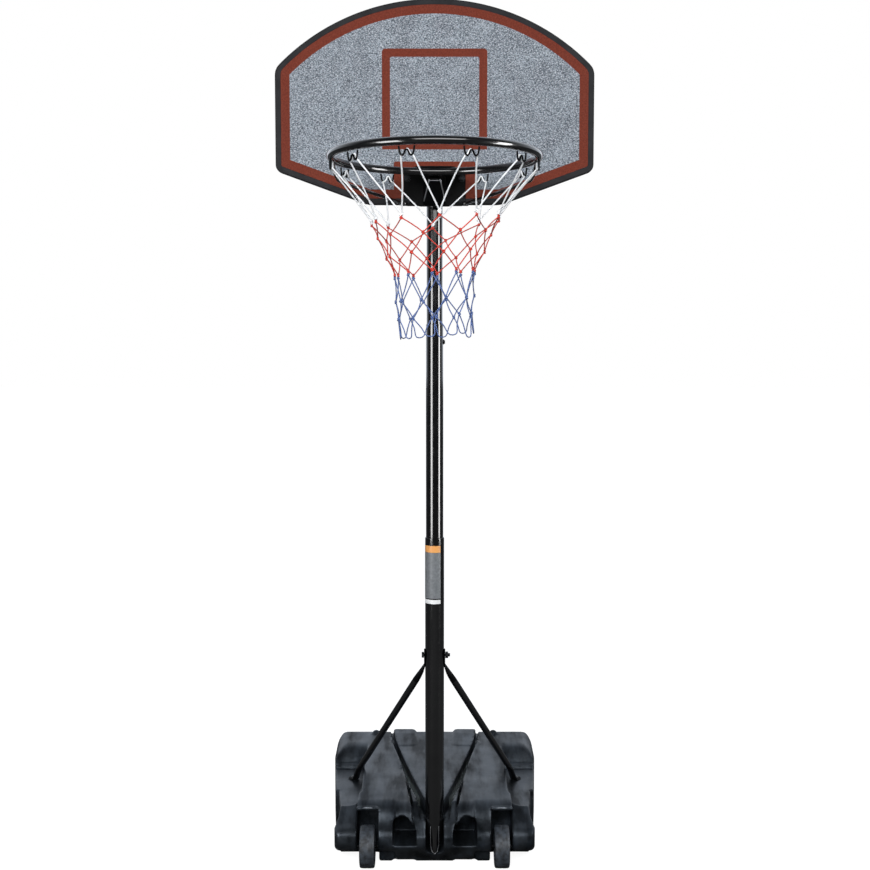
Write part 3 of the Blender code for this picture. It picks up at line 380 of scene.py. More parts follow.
def loft(sections, closed=False):
    """Skin a row of equal loops with quads; an open row is closed at both ends."""
    bm = bmesh.new()
    loops = [[bm.verts.new(point) for point in section] for section in sections]
    count = len(loops[0])
    pairs = list(zip(loops, loops[1:]))
    if closed:
        pairs.append((loops[-1], loops[0]))
    for near, far in pairs:
        for i in range(count):
            j = (i + 1) % count
            bm.faces.new((near[i], near[j], far[j], far[i]))
    if not closed:
        bm.faces.new(loops[0])
        bm.faces.new(loops[-1])
    return bm


def oval(centre, u, v, count):
    """Points round an ellipse with half axes u and v."""
    return [Vector(centre) + Vector(u) * math.cos(a) + Vector(v) * math.sin(a)
            for a in (2 * math.pi * i / count for i in range(count))]


def finish_piece(name, bm, material, crease=40):
    """A bmesh as a finished piece with its faces turned outwards."""
    bmesh.ops.recalc_face_normals(bm, faces=bm.faces)
    mesh = bpy.data.meshes.new(name)
    bm.to_mesh(mesh)
    bm.free()
    return mesh_piece(name, mesh, material, crease)


low, high = np.array(TANK_BOX)
axes = [np.arange(a, b, PITCH) for a, b in zip(low, high)]
sampled = tank_field(*np.meshgrid(*axes, indexing='ij')).astype(np.float32)
points, quads = skin_of(sampled, low, PITCH)
points = settle(points, quads, tank_field)
points[:, 2] = np.maximum(points[:, 2], 0.0)
tank_mesh = bpy.data.meshes.new("tank_shell")
tank_mesh.from_pydata((points + (0, POLE_Y, 0)).tolist(), [], quads.tolist())
tank_plastic = polyethylene()
fit(mesh_piece("tank_shell", tank_mesh, tank_plastic), "base", "tank_plastic", "base_tank")

# A thin pale bead on each lip over the wheel slots is a painted highlight along the lip's edge
LIP_HALF, LIP_STEPS, LIP_CREST = 0.018, 12, (-0.0222, 0.1422)
HANDS = ((-1, "left"), (1, "right"))
painted_lip_highlight = plain_finish("painted_highlight_polyethylene_edge", {"IOR": 1.48, "Roughness": 0.45},
                         ("#474c52", "#7b828a", 0.006))
for side, word in HANDS:
    loops = []
    for k in range(LIP_STEPS + 1):
        # A thin flat bead that fades out at both ends
        share = math.sin(math.pi * (0.08 + 0.84 * k / LIP_STEPS)) ** 0.5
        centre = (side * (SLOT_LIP[0] + LIP_HALF * (2 * k / LIP_STEPS - 1)),
                  POLE_Y + LIP_CREST[0], LIP_CREST[1])
        loops.append(oval(centre, (0, 0.0024 * share, 0.0012 * share),
                          (0, -0.0011 * share, 0.0020 * share), 12))
    fit(finish_piece("slot_lip_painted_highlight_" + word, loft(loops), painted_lip_highlight, 60),
        "base", "tank_plastic")


def tap_water():
    """Tap water in the tank: clear, a little cloudy in slow patches."""
    return plain_finish("ballast_tap_water", {"IOR": 1.333, "Transmission Weight": 0.95,
                                              "Roughness": 0.03}, ("#c8dad8", "#e2eeee", 0.08))


# ------------------------------------------------------------------ filler cap
# A moulded screw cap in the tank's rear wall, with ribs round its rim for the fingers and a
# slot for a coin. It is a harder, glossier polyethylene than the tank.
CAP_Y, CAP_Z = POLE_Y + REAR_Y, 0.095
CAP_R, CAP_DEPTH, CAP_RIBS, CAP_RIB_HIGH, NECK_R = 0.0228, 0.011, 30, 0.0006, 0.0174
COIN_SLOT = (0.024, 0.007, 0.0030)


def hard_plastic(name, dark, light, roughness):
    """Injection-moulded plastic: an even satin skin with faint handling marks."""
    return plain_finish(name, {"IOR": 1.50}, (dark, light, 0.018, 4.0),
                        (roughness - 0.06, roughness + 0.08, 0.006, 4.0),
                        ((0.0012, 0.00006, 2.0),))


cap_plastic = hard_plastic("moulded_cap_plastic", "#1b1c1e", "#2b2d30", 0.38)
count = CAP_RIBS * 6
sections = []
for radius, depth in ((NECK_R, -0.010), (NECK_R, 0.0), (CAP_R, 0.0), (CAP_R, CAP_DEPTH - 0.003),
                      (CAP_R - 0.0008, CAP_DEPTH - 0.001), (CAP_R - 0.0025, CAP_DEPTH),
                      (0.0155, CAP_DEPTH), (0.0145, CAP_DEPTH - 0.0015),
                      (0.004, CAP_DEPTH - 0.0015)):
    ring = []
    for i in range(count):
        a = 2 * math.pi * i / count
        r = radius + (CAP_RIB_HIGH * math.cos(CAP_RIBS * a) if radius == CAP_R else 0)
        ring.append(Vector((r * math.cos(a), CAP_Y + depth, CAP_Z + r * math.sin(a))))
    sections.append(ring)
cap = finish_piece("filler_cap_ribbed", loft(sections), cap_plastic)
coin = bmesh.new()
bmesh.ops.create_cube(coin, size=1.0, matrix=Matrix.Translation((0, CAP_Y + CAP_DEPTH, CAP_Z))
                      @ Matrix.Diagonal((*COIN_SLOT, 1)))
coin_slot = finish_piece("coin_slot", coin, cap_plastic)


def evaluated(piece):
    """A piece's mesh with its modifiers applied."""
    return bpy.data.meshes.new_from_object(
        piece.evaluated_get(bpy.context.evaluated_depsgraph_get()))


def carve(body, cutter, operation='DIFFERENCE'):
    """Take a cutter out of a piece, or add it, and do away with the cutter."""
    boolean = body.modifiers.new("carve", 'BOOLEAN')
    boolean.operation = operation
    boolean.object = cutter
    carved = evaluated(body)
    body.modifiers.remove(boolean)
    body.data = carved
    bpy.data.objects.remove(cutter)
    return body


fit(carve(cap, coin_slot), "filler_cap", "tank_plastic", "filler_cap")


# ------------------------------------------------------------------ wheels and axle pins
# Two rolling feet for moving the stand when it is tipped forward: hard grey plastic wheels,
# moulded with a rounded tread and ribs between hub and rim, on plain steel pins.
WHEEL_R, WHEEL_HALF, WHEEL_X = 0.049, 0.0175, 0.158
WHEEL_Y, WHEEL_Z = POLE_Y - 0.022, 0.049
WHEEL_SIDES, SPOKES, BORE_R = 96, 8, 0.0046
HUB_R, RIM_IN, WEB_HALF, RIB_THICK = 0.0125, 0.0375, 0.0035, 0.0028


def node_group(name, inputs, output):
    """A geometry node group with named inputs and one output, and its input sockets."""
    tree = bpy.data.node_groups.new(name, 'GeometryNodeTree')
    for label, kind in inputs:
        tree.interface.new_socket(label, in_out='INPUT', socket_type='NodeSocket' + kind)
    tree.interface.new_socket(output, in_out='OUTPUT', socket_type='NodeSocketGeometry')
    return tree, add(tree, "NodeGroupInput").outputs


def copied(tree, part, shift, count, spin):
    """Copies of a part, each moved by one vector and then turned by its own."""
    moved = add(tree, "GeometryNodeTransform", {"Geometry": part, "Translation": shift})
    spots = add(tree, "GeometryNodePoints", {"Count": count, "Radius": 0.001})
    return add(tree, "GeometryNodeInstanceOnPoints", {"Points": spots, "Instance": moved,
                                                      "Rotation": spin})


def hand_out(tree, geometry, material, output):
    """End a group: the copies made real, in one material."""
    solid = add(tree, "GeometryNodeRealizeInstances", {"Geometry": geometry})
    painted = add(tree, "GeometryNodeSetMaterial", {"Geometry": solid, "Material": material})
    add(tree, "NodeGroupOutput", {output: painted})
    return tree


def spoke_tree(material):
    """Geometry nodes: ribs of equal angle between a wheel's hub and its rim."""
    tree, given = node_group("wheel_ribs", (("Wheel", "Geometry"), ("Ribs", "Int"),
                                            ("Hub", "Float"), ("Rim", "Float"),
                                            ("Depth", "Float")), "Wheel")
    turn = add(tree, "ShaderNodeMath", {0: math.tau, 1: given["Ribs"]}, operation='DIVIDE')
    angle = add(tree, "ShaderNodeMath", {0: add(tree, "GeometryNodeInputIndex"), 1: turn},
                operation='MULTIPLY')
    span = add(tree, "ShaderNodeMath", {0: given["Rim"], 1: given["Hub"]}, operation='SUBTRACT')
    total = add(tree, "ShaderNodeMath", {0: given["Rim"], 1: given["Hub"]}, operation='ADD')
    middle = add(tree, "ShaderNodeMath", {0: total, 1: 0.5}, operation='MULTIPLY')
    size = add(tree, "ShaderNodeCombineXYZ", {"X": given["Depth"], "Y": span, "Z": RIB_THICK})
    copies = copied(tree, add(tree, "GeometryNodeMeshCube", {"Size": size}),
                    add(tree, "ShaderNodeCombineXYZ", {"Y": middle}), given["Ribs"],
                    add(tree, "ShaderNodeCombineXYZ", {"X": angle}))
    joined = add(tree, "GeometryNodeJoinGeometry")
    tree.links.new(given["Wheel"], joined.inputs[0])
    tree.links.new(copies.outputs[0], joined.inputs[0])
    return hand_out(tree, joined, material, "Wheel")


def grown(holder, tree, values):
    """The mesh that a node tree makes on an object from named inputs; no modifier stays."""
    modifier = holder.modifiers.new("grow", 'NODES')
    modifier.node_group = tree
    ids = {item.name: item.identifier for item in tree.interface.items_tree
           if item.item_type == 'SOCKET' and item.in_out == 'INPUT'}
    for label, value in values.items():
        modifier[ids[label]] = value
    made = evaluated(holder)
    holder.modifiers.remove(modifier)
    return made


def scuffed_plastic():
    """Hard grey wheel plastic: chalky scuffs run round the tread where it has rolled."""
    return plain_finish("scuffed_wheel_plastic", {"IOR": 1.50},
                        ("#1c1f23", "#3a4048", 0.011, 5.0, (0.36, 0.62)),
                        (0.40, 0.66, 0.008, 4.0), ((0.0016, 0.00018, 4.0),))


wheel_plastic = scuffed_plastic()
ribs = spoke_tree(wheel_plastic)
edge = WHEEL_HALF
tyre = [(BORE_R, -edge + 0.001), (HUB_R - 0.001, -edge + 0.001), (HUB_R, -edge + 0.002),
        (HUB_R + 0.001, -WEB_HALF), (RIM_IN, -WEB_HALF), (RIM_IN + 0.0012, -edge + 0.0025),
        (RIM_IN + 0.0030, -edge), (WHEEL_R - 0.0050, -edge), (WHEEL_R - 0.0022, -edge + 0.0008),
        (WHEEL_R - 0.0006, -edge + 0.0032), (WHEEL_R - 0.0001, -0.0080), (WHEEL_R, -0.0014),
        (WHEEL_R - 0.0006, 0.0)]
tyre += [(r, -w) for r, w in tyre[-2::-1]]
for side, word in HANDS:
    rings = []
    for i in range(WHEEL_SIDES):
        a = math.tau * i / WHEEL_SIDES
        rings.append([Vector((w, r * math.cos(a), r * math.sin(a))) for r, w in tyre])
    wheel = finish_piece("wheel_ribbed_" + word, loft(rings, closed=True), wheel_plastic, 50)
    wheel.data = grown(wheel, ribs, {"Ribs": SPOKES, "Hub": HUB_R, "Rim": RIM_IN + 0.001,
                                     "Depth": 2 * edge - 0.007})
    wheel.data.transform(Matrix.Translation((side * WHEEL_X, WHEEL_Y, WHEEL_Z)))
    wheel.data.set_sharp_from_angle(angle=math.radians(40))
    fit(wheel, "wheel_" + word, "wheel_plastic", "wheel_" + word)


def oiled_steel(name, dark, light, roughness):
    """Blackened steel hardware: a dark oxide coat that has rubbed to grey metal in patches. Given
    pale colours, it paints highlight lines instead.
    """
    return plain_finish(name, {"Metallic": 0.85}, (dark, light, 0.004, 4.0),
                        (roughness - 0.1, roughness + 0.12, 0.003), ((0.0010, 0.00005, 2.0),))


# The pins are CAD nodes that stay in view. They and all others like them, such as the bolts,
# start in this steel, and a few get another finish further down
dark_steel = oiled_steel("blackened_steel", "#0e0f10", "#26282b", 0.46)
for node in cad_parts.values():
    node.data.materials.clear()
    node.data.materials.append(dark_steel)
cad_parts["ballast_water"].data.materials[0] = tap_water()


# ------------------------------------------------------------------ pole
# Three thin-walled steel tubes that slide in each other, with gloss black stove enamel. The
# lower one is crushed flat at its foot, so that it wedges in the tank's channel.
# The lower tube is drawn 1.2 mm thicker than the CAD's, as the photo shows it
LOWER_R, MIDDLE_R, UPPER_R, WALL = 0.0221, 0.0200, 0.0185, 0.0012
LOWER_Z, MIDDLE_Z, UPPER_Z = (0.110, 0.781), (0.620, 1.275), (1.055, 1.900)
TUBE_SIDES = 64
FOOT = ((0.0306, 0.0035, 0.0270), (0.0330, 0.0080, 0.0276), (0.0400, 0.0112, 0.0274),
        (0.0500, 0.0130, 0.0266), (0.0620, 0.0154, 0.0252), (0.0750, 0.0184, 0.0236),
        (0.0880, 0.0206, 0.0222), (0.0980, 0.0214, 0.0216))


def gloss_enamel():
    """Stove enamel on steel: near black, wet gloss, with the faintest orange peel of spray
    paint, drawn at 6 mm, and dust that dulls it in patches."""
    return plain_finish("gloss_black_enamel", {
        "IOR": 1.50, "Coat Weight": 1.0, "Coat Roughness": 0.05}, ("#050506", "#0a0a0b", 0.05),
        (0.14, 0.24, 0.03), ((0.0060, 0.000004, 1.0),))


def tube(name, radius, ends, foot=()):
    """A tube with softened ends; a foot gives lower sections as (z, half x, half y)."""
    low, high = ends
    inner, soft = radius - WALL, 0.0003
    rows = list(foot)
    if not foot:
        rows = [(low + soft, inner, inner), (low, inner + soft, inner + soft),
                (low, radius - soft, radius - soft)]
    rows += [(low + soft, radius, radius), (high - soft, radius, radius),
             (high, radius - soft, radius - soft), (high, inner + soft, inner + soft),
             (high - soft, inner, inner), (low + 3 * soft, inner, inner)]
    sections = [oval((0, POLE_Y, z), (a, 0, 0), (0, b, 0), TUBE_SIDES) for z, a, b in rows]
    return finish_piece(name, loft(sections, closed=not foot), enamel, 40)


enamel = gloss_enamel()
fit(tube("pole_lower_tube", LOWER_R, LOWER_Z, FOOT), "base", "black_paint", "pole_lower",
    "pole_foot")
fit(tube("pole_middle_tube", MIDDLE_R, MIDDLE_Z), "middle_section", "black_paint", "pole_middle")
fit(tube("pole_upper_tube", UPPER_R, UPPER_Z), "upper_section", "black_paint", "pole_upper")
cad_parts["pole_top_cap"].data.materials[0] = cap_plastic


def smoothed(points, steps):
    """A smooth line through all the points, with equal steps between each two."""
    points = [Vector(p) for p in points]
    line = []
    for i in range(len(points) - 1):
        a, b, c, d = (points[max(0, min(len(points) - 1, i + k))] for k in (-1, 0, 1, 2))
        for k in range(steps):
            t = k / steps
            line.append(0.5 * (2 * b + (c - a) * t + (2 * a - 5 * b + 4 * c - d) * t ** 2
                               + (3 * b - a - 3 * c + d) * t ** 3))
    return line + [points[-1]]


def bar(line, radius, sides):
    """Loops of a round bar along a line, with its ends rounded off."""
    side, loops = None, []
    for i, here in enumerate(line):
        ahead = (line[min(i + 1, len(line) - 1)] - line[max(i - 1, 0)]).normalized()
        side = side or ahead.orthogonal()
        side = (side - ahead * side.dot(ahead)).normalized()
        rows = [(0.0, 1.0)]
        if i == 0:
            rows = [(-1.0, 0.35), (-0.75, 0.75), (-0.35, 0.95)]
        elif i == len(line) - 1:
            rows = [(0.35, 0.95), (0.75, 0.75), (1.0, 0.35)]
        for along, share in rows:
            r = radius * share
            centre = here + ahead * (along * radius * 0.5)
            loops.append(oval(centre, side * r, ahead.cross(side) * r, sides))
    return loops


# Pale grey steel for thin strips that are painted highlights: the light lines along the crushed
# foot's folded edge, and along the gusset's edges
painted_highlight_steel = oiled_steel("painted_highlight_steel_edge", "#8e9094", "#bcbec2", 0.45)
seam = []
for z, x in ((0.0960, 0.0098), (0.0820, 0.0098), (0.0680, 0.0097), (0.0560, 0.0094),
             (0.0480, 0.0088), (0.0420, 0.0078), (0.0380, 0.0064), (0.0352, 0.0042)):
    a, b = (np.interp(z, [row[0] for row in FOOT], [row[k] for row in FOOT]) for k in (1, 2))
    seam.append(Vector((x, POLE_Y - b * math.sqrt(1 - (x / a) ** 2), z)))
seam += [Vector((0, POLE_Y - 0.0276, 0.0340))] + [Vector((-p.x, p.y, p.z)) for p in seam[::-1]]
fit(finish_piece("foot_seam_painted_highlight", loft(bar(smoothed(seam, 3), 0.0005, 8)), painted_highlight_steel, 60),
    "base", "black_paint")
for side in ("left", "right"):
    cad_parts["strut_foot_screw_" + side].data.materials[0] = cap_plastic


# ------------------------------------------------------------------ blank band on the pole
# A vinyl band stuck round the lower tube under its joint: an ochre head, a grey body and a
# white foot. It is left blank.
BAND_ANGLES = (math.radians(-196), math.radians(-52))
BAND_FILM, BAND_GAP, BAND_STEPS = 0.00018, 0.00004, 40
BANDS = (("ochre", 0.7480, 0.7637, "#d9924a", "#e6a763"),
         ("grey", 0.6400, 0.7478, "#62666a", "#787c80"),
         ("white", 0.6276, 0.6372, "#dfe2e4", "#f2f3f4"))


def vinyl(name, dark, light):
    """Printed vinyl: a thin satin film that is a little dusty and scuffed."""
    return plain_finish(name, {"IOR": 1.46}, (dark, light, 0.006, 5.0), (0.34, 0.5, 0.004),
                        ((0.0015, 0.00004, 2.0),))


for word, low_z, high_z, dark, light in BANDS:
    sections = []
    for i in range(BAND_STEPS + 1):
        a = BAND_ANGLES[0] + (BAND_ANGLES[1] - BAND_ANGLES[0]) * i / BAND_STEPS
        near, far = (LOWER_R + BAND_GAP + film for film in (0, BAND_FILM))
        sections.append([Vector((r * math.cos(a), POLE_Y + r * math.sin(a), z))
                         for r, z in ((near, low_z), (far, low_z), (far, high_z), (near, high_z))])
    band_vinyl = vinyl("vinyl_" + word, dark, light)
    fit(finish_piece("blank_band_" + word, loft(sections), band_vinyl, 30), "base", "black_paint")


# ------------------------------------------------------------------ struts
# Two steel stays, pressed flat where they are bolted to the pole and again where they are
# screwed to the tank's ledges, in the same enamel as the pole.
STRUT_R, STRUT_SHEET, STRUT_BOLT_Z = 0.008, 0.0016, 0.5025
STRUT_FOOT = Vector((0.207, 0.214, LEDGE_Z + 0.0019))
STRUT_SIDES, STRUT_STEPS, STRUT_SEAT_X = 28, 24, 0.0218

satin = hard_plastic("satin_black_coat", "#050506", "#090a0b", 0.50)
satin.node_tree.nodes["Principled BSDF"].inputs["Specular IOR Level"].default_value = 0.06


def strut_sections(side):
    """Loops from the upper eye down the round stay to the flat foot."""
    top = Vector((STRUT_SEAT_X + STRUT_SHEET, 0, STRUT_BOLT_Z))
    start = Vector((STRUT_SEAT_X + 0.0092, 0.010, STRUT_BOLT_Z - 0.042))
    end = Vector((STRUT_FOOT.x - 0.016, STRUT_FOOT.y - 0.018, LEDGE_Z + 0.034))
    run = (end - start).normalized()
    high_u = run.cross(Vector((1, 0, 0))).normalized()
    low_u = run.cross(Vector((0, 0, 1))).normalized()
    across = Vector((0, -0.95, -0.3)).normalized()
    rows = ((-0.0045, 0.0145, 0.0025), (-0.0040, 0.0130, 0.0062), (-0.0025, 0.0100, 0.0088),
            (-0.001, 0.006, 0.0105), (0.001, -0.002, 0.0116), (0.003, -0.010, 0.0118),
            (0.0045, -0.018, 0.0114), (0.006, -0.026, 0.0106))
    loops = [oval(top + Vector((0, y, z)), across * half, (-STRUT_SHEET, 0, 0), STRUT_SIDES)
             for y, z, half in rows]
    for i in range(STRUT_STEPS + 1):
        share = i / STRUT_STEPS
        u = high_u.slerp(low_u, share)
        # The stay swells from the pressed ends to its full round in a few centimetres
        full = min(share / 0.07, (1 - share) / 0.07, 1)
        full = full * full * (3 - 2 * full)
        wide = STRUT_R * (1.18 - 0.18 * full)
        thick = STRUT_R * (0.62 + 0.38 * full)
        loops.append(oval(start.lerp(end, share), u * wide, run.cross(u) * thick, STRUT_SIDES))
    flat = Vector((low_u.x, low_u.y, 0)).normalized()
    out = Vector((flat.y, -flat.x, 0))
    if out.dot(run) < 0:
        out = -out
    for ahead, half in ((-0.009, 0.0115), (-0.002, 0.0117), (0.006, 0.0105), (0.010, 0.0080),
                        (0.012, 0.0050), (0.0128, 0.0020)):
        loops.append(oval(STRUT_FOOT + out * ahead, flat * half, (0, 0, -STRUT_SHEET), STRUT_SIDES))
    return [[Vector((side * p.x, p.y + POLE_Y, p.z)) for p in loop] for loop in loops]


for side, word in HANDS:
    stay = finish_piece("stay_" + word, loft(strut_sections(side)), enamel, 50)
    stay.data.materials.append(satin)
    for face in stay.data.polygons:
        # Handling and rain have dulled the enamel on the pressed ends
        face.material_index = int(not LEDGE_Z + 0.012 < face.center.z < STRUT_BOLT_Z - 0.070)
    fit(stay, "base", "black_paint", "strut_" + word)


# ------------------------------------------------------------------ backboard
# The board is a moulded plastic panel, black at its raised rim and ribbed behind. A printed
# sheet with a stone-like speckle and brick red lines is bonded in the rim's recess.
BOARD_HALF, BOARD_HEIGHT, BOARD_SHOULDER = 0.355, 0.450, 0.298
BOARD_HIP, BOARD_FOOT_HALF, BOARD_Z = 0.075, 0.149, 1.541
BOARD_Y, BOARD_THICK, RIM_WIDTH, RIB_HALF = POLE_Y - 0.055, 0.020, 0.013, 0.0035


def arc(centre, radius, start, end, steps):
    """Points on a circle arc in a plane, angles in degrees."""
    turn = [math.radians(start + (end - start) * i / steps) for i in range(steps + 1)]
    return [(centre[0] + radius * math.cos(a), centre[1] + radius * math.sin(a)) for a in turn]


def board_outline(shrink=0.0, rounding=0.014):
    """The board's edge in (x, z), counter-clockwise with round corners, moved in by shrink."""
    rise = BOARD_HEIGHT - BOARD_SHOULDER
    radius = (BOARD_HALF ** 2 + rise ** 2) / (2 * rise)
    sweep = math.degrees(math.asin(BOARD_HALF / radius))
    crown = arc((0, BOARD_HEIGHT - radius), radius, 90 - sweep, 90 + sweep, 72)
    crown = crown[:1] + crown[2:-2] + crown[-1:]
    corners = [(BOARD_FOOT_HALF, 0.0), (BOARD_HALF, BOARD_HIP)] + crown
    corners += [(-BOARD_HALF, BOARD_HIP), (-BOARD_FOOT_HALF, 0.0)]
    soft = []
    for i, corner in enumerate(corners):
        last, here = Vector(corners[i - 1]), Vector(corner)
        after = Vector(corners[(i + 1) % len(corners)])
        if not rounding or abs((here - last).angle_signed(after - here)) < math.radians(12):
            soft.append(here)
            continue
        a = here + (last - here).normalized() * rounding
        b = here + (after - here).normalized() * rounding
        for k in range(7):
            t = k / 6
            soft.append(a * (1 - t) ** 2 + here * 2 * t * (1 - t) + b * t ** 2)
    moved = []
    for i, here in enumerate(soft):
        before = (here - soft[i - 1]).normalized()
        after = (soft[(i + 1) % len(soft)] - here).normalized()
        normal = Vector((-before.y - after.y, before.x + after.x))
        moved.append(here + normal * (2 * shrink / normal.length_squared))
    return [(p.x, p.y + BOARD_Z) for p in moved]


def board_plastic():
    """Moulded polypropylene: charcoal, satin and fine-grained, its grey drifting a little in
    patches.
    """
    return plain_finish("moulded_polypropylene", {"IOR": 1.49, "Specular IOR Level": 0.10},
                        ("#212123", "#2a2a2c", 0.03, 4.0), (0.55, 0.70, 0.02),
                        ((0.0016, 0.00010, 2.0),))


rim_rows = ((0.0160, 0.0013), (0.0132, 0.0012), (0.0130, 0.0006), (0.0124, 0.0001),
            (0.0115, 0.0), (0.0034, 0.0), (0.0016, 0.0005), (0.0005, 0.0018), (0.0, 0.0036),
            (0.0, BOARD_THICK - 0.0022), (0.0005, BOARD_THICK - 0.0008),
            (0.0018, BOARD_THICK), (0.0100, BOARD_THICK), (0.0110, BOARD_THICK - 0.0008),
            (0.0116, 0.0068), (0.0130, 0.0060))
sections = [[Vector((x, BOARD_Y + depth, z)) for x, z in board_outline(shrink)]
            for shrink, depth in rim_rows]
panel_plastic = board_plastic()
panel = finish_piece("board_panel", loft(sections), panel_plastic, 50)
# A broad pad behind the ring, two upright ribs on each side of it and two level ones
rib_boxes = [((-0.089, 0.089), (BOARD_Z + 0.004, 1.975))]
rib_boxes += [((side * x - RIB_HALF, side * x + RIB_HALF), (1.50, 2.02))
              for side in (-1, 1) for x in (0.168, 0.251)]
rib_boxes += [((-0.35, 0.35), (z - RIB_HALF, z + RIB_HALF)) for z in (1.659, 1.804)]
inner_edge = board_outline(0.0118)


def clipped(box):
    """The part of a rib's rectangle that lies inside the board's rim."""
    (x0, x1), (z0, z1) = box
    shape = [Vector(p) for p in inner_edge]
    for axis, limit, sign in ((0, x0, 1), (0, x1, -1), (1, z0, 1), (1, z1, -1)):
        kept = []
        for i, here in enumerate(shape):
            last = shape[i - 1]
            inside = sign * (here[axis] - limit) >= 0
            if inside != (sign * (last[axis] - limit) >= 0):
                kept.append(last.lerp(here, (limit - last[axis]) / (here[axis] - last[axis])))
            if inside:
                kept.append(here)
        shape = kept
    return shape


for number, box in enumerate(rib_boxes):
    shape = clipped(box)
    # The upright ribs end a little under the pad and the level ones under those, so that no
    # two of their faces lie in one plane
    depth = (0.0055, BOARD_THICK - 0.0003 - 0.0004 * (number > 0) - 0.0004 * (number > 4))
    rib = loft([[Vector((p.x, BOARD_Y + y, p.y)) for p in shape] for y in depth])
    carve(panel, finish_piece("board_rib_%d" % number, rib, panel_plastic), 'UNION')
panel.data.set_sharp_from_angle(angle=math.radians(40))
fit(panel, "upper_section", "board_plastic", "backboard_panel")

# The printed sheet: a stripe along its edge, a square, and a low frame round the ring's plate
STRIPE, LINE = 0.020, 0.018
SQUARE, LOW_FRAME = (0.117, 1.662, 1.8824), (0.091, 1.6357)
SHEET_FRONT, SHEET_THICK = BOARD_Y + 0.0002, 0.0009


def rectangle(half, low, high, radius):
    """Upright rectangle with its two upper corners rounded."""
    shape = [(-half, low), (half, low)]
    shape += arc((half - radius, high - radius), radius, 0, 90, 6)
    shape += arc((-half + radius, high - radius), radius, 90, 180, 6)
    return shape


def holds(outline, x, z):
    """Whether a point lies in an outline."""
    inside = False
    for (ax, az), (bx, bz) in zip(outline, outline[1:] + outline[:1]):
        if (az > z) != (bz > z) and x < ax + (z - az) * (bx - ax) / (bz - az):
            inside = not inside
    return inside


def printed_sheet(red, stone):
    """The sheet's face cut along its printed lines, with a plain back and edge."""
    edge = board_outline(RIM_WIDTH + 0.0002)
    field = board_outline(RIM_WIDTH + STRIPE, 0)
    half, low, high = SQUARE
    square = rectangle(half, low, high, 0.008)
    square_in = rectangle(half - LINE, low + LINE * 0.8, high - LINE, 0.004)
    half, high = LOW_FRAME
    frame_out = rectangle(half, BOARD_Z + RIM_WIDTH + 0.004, high, 0.004)
    spots, joins = [], []
    for outline in (edge, field, square, square_in, frame_out):
        start = len(spots)
        spots += [Vector(p) for p in outline]
        joins += [(start + i, start + (i + 1) % len(outline)) for i in range(len(outline))]
    flat, _, triangles, _, _, _ = delaunay_2d_cdt(spots, joins, [], 0, 1e-7)
    bm = bmesh.new()
    front = [bm.verts.new((p.x, SHEET_FRONT, p.y)) for p in flat]
    for triangle in triangles:
        middle = sum((flat[i] for i in triangle), Vector((0, 0))) / 3
        if not holds(edge, *middle):
            continue
        drawn = (not holds(field, *middle) or holds(frame_out, *middle)
                 or holds(square, *middle) and not holds(square_in, *middle))
        face = bm.faces.new([front[i] for i in triangle])
        face.material_index = 0 if drawn else 1
    for vert in [v for v in bm.verts if not v.link_faces]:
        bm.verts.remove(vert)
    rim = [e for e in bm.edges if len(e.link_faces) == 1]
    back = bmesh.ops.extrude_edge_only(bm, edges=rim)["geom"]
    for vert in (g for g in back if isinstance(g, bmesh.types.BMVert)):
        vert.co.y += SHEET_THICK
    bmesh.ops.contextual_create(bm, geom=[g for g in back if isinstance(g, bmesh.types.BMEdge)])
    made = finish_piece("printed_sheet", bm, red, 30)
    made.data.materials.append(stone)
    return made


def brick_ink():
    """Brick red screen ink on the sheet: flat and even, thin enough for the speckle to show
    through it faintly."""
    return plain_finish("brick_red_ink", {"IOR": 1.47, "Specular IOR Level": 0.12},
                        ("#57251b", "#6e3224", 0.0034), (0.60, 0.72, 0.02),
                        ((0.0020, 0.00004, 2.0),))


def stone_speckle():
    """Granite-look print: dark and pale flecks 2 to 4 mm across, a little wider than high,
    over a slate grey that drifts from place to place."""
    material, tree, shader, place = new_finish("granite_print", {
        "IOR": 1.47, "Specular IOR Level": 0.12})
    wide = add(tree, "ShaderNodeMapping", {"Vector": place, "Scale": (0.75, 1.0, 1.25)})
    other = add(tree, "ShaderNodeMapping", {"Vector": wide, "Location": (3.1, 1.7, 5.3)})
    drift = patches(tree, place, 0.045, 0.0, 1.0, 3.0, (0.30, 0.70))
    pale = patches(tree, wide, 0.0025, 0.0, 1.0, 2.0, (0.46, 0.66))
    pepper = patches(tree, other, 0.0024, 0.0, 1.0, 2.0, (0.46, 0.64))
    ground = tint(tree, drift, "#60666f", "#808a93")
    flecked = add(tree, "ShaderNodeMix", {0: pale, 6: ground, 7: linear("#b6bbc2")},
                  data_type='RGBA')
    peppered = add(tree, "ShaderNodeMix", {0: pepper, 6: flecked.outputs[2],
                                           7: linear("#3f464e")}, data_type='RGBA')
    tree.links.new(peppered.outputs[2], shader.inputs["Base Color"])
    tree.links.new(patches(tree, place, 0.02, 0.58, 0.70), shader.inputs["Roughness"])
    grain(tree, shader, ((pale, 0.00005),))
    return material


fit(printed_sheet(brick_ink(), stone_speckle()), "upper_section", "board_print",
    "board_face_sheet")
for node in ("board_bracket_lower", "board_bracket_upper"):
    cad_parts[node].data.materials[0] = enamel


# ------------------------------------------------------------------ ring, plate and braces
# A round steel bar bent to a ring and welded to a folded plate, with a folded gusset below and two
# rods back from its sides. All of it is dipped in the same gloss black; the plate and gusset are
# drawn in a duller satin black, and pale strips along the gusset's edges are painted highlights.
RING_R, BAR_R, RING_Z = 0.2075, 0.008, 1.602
RING_Y = POLE_Y - 0.3455
PLATE_BACK_Y = BOARD_Y - 0.0003
PLATE_HALF, PLATE_LOW_Z, PLATE_SHEET, BRACE_R = 0.069, 1.537, 0.003, 0.0035


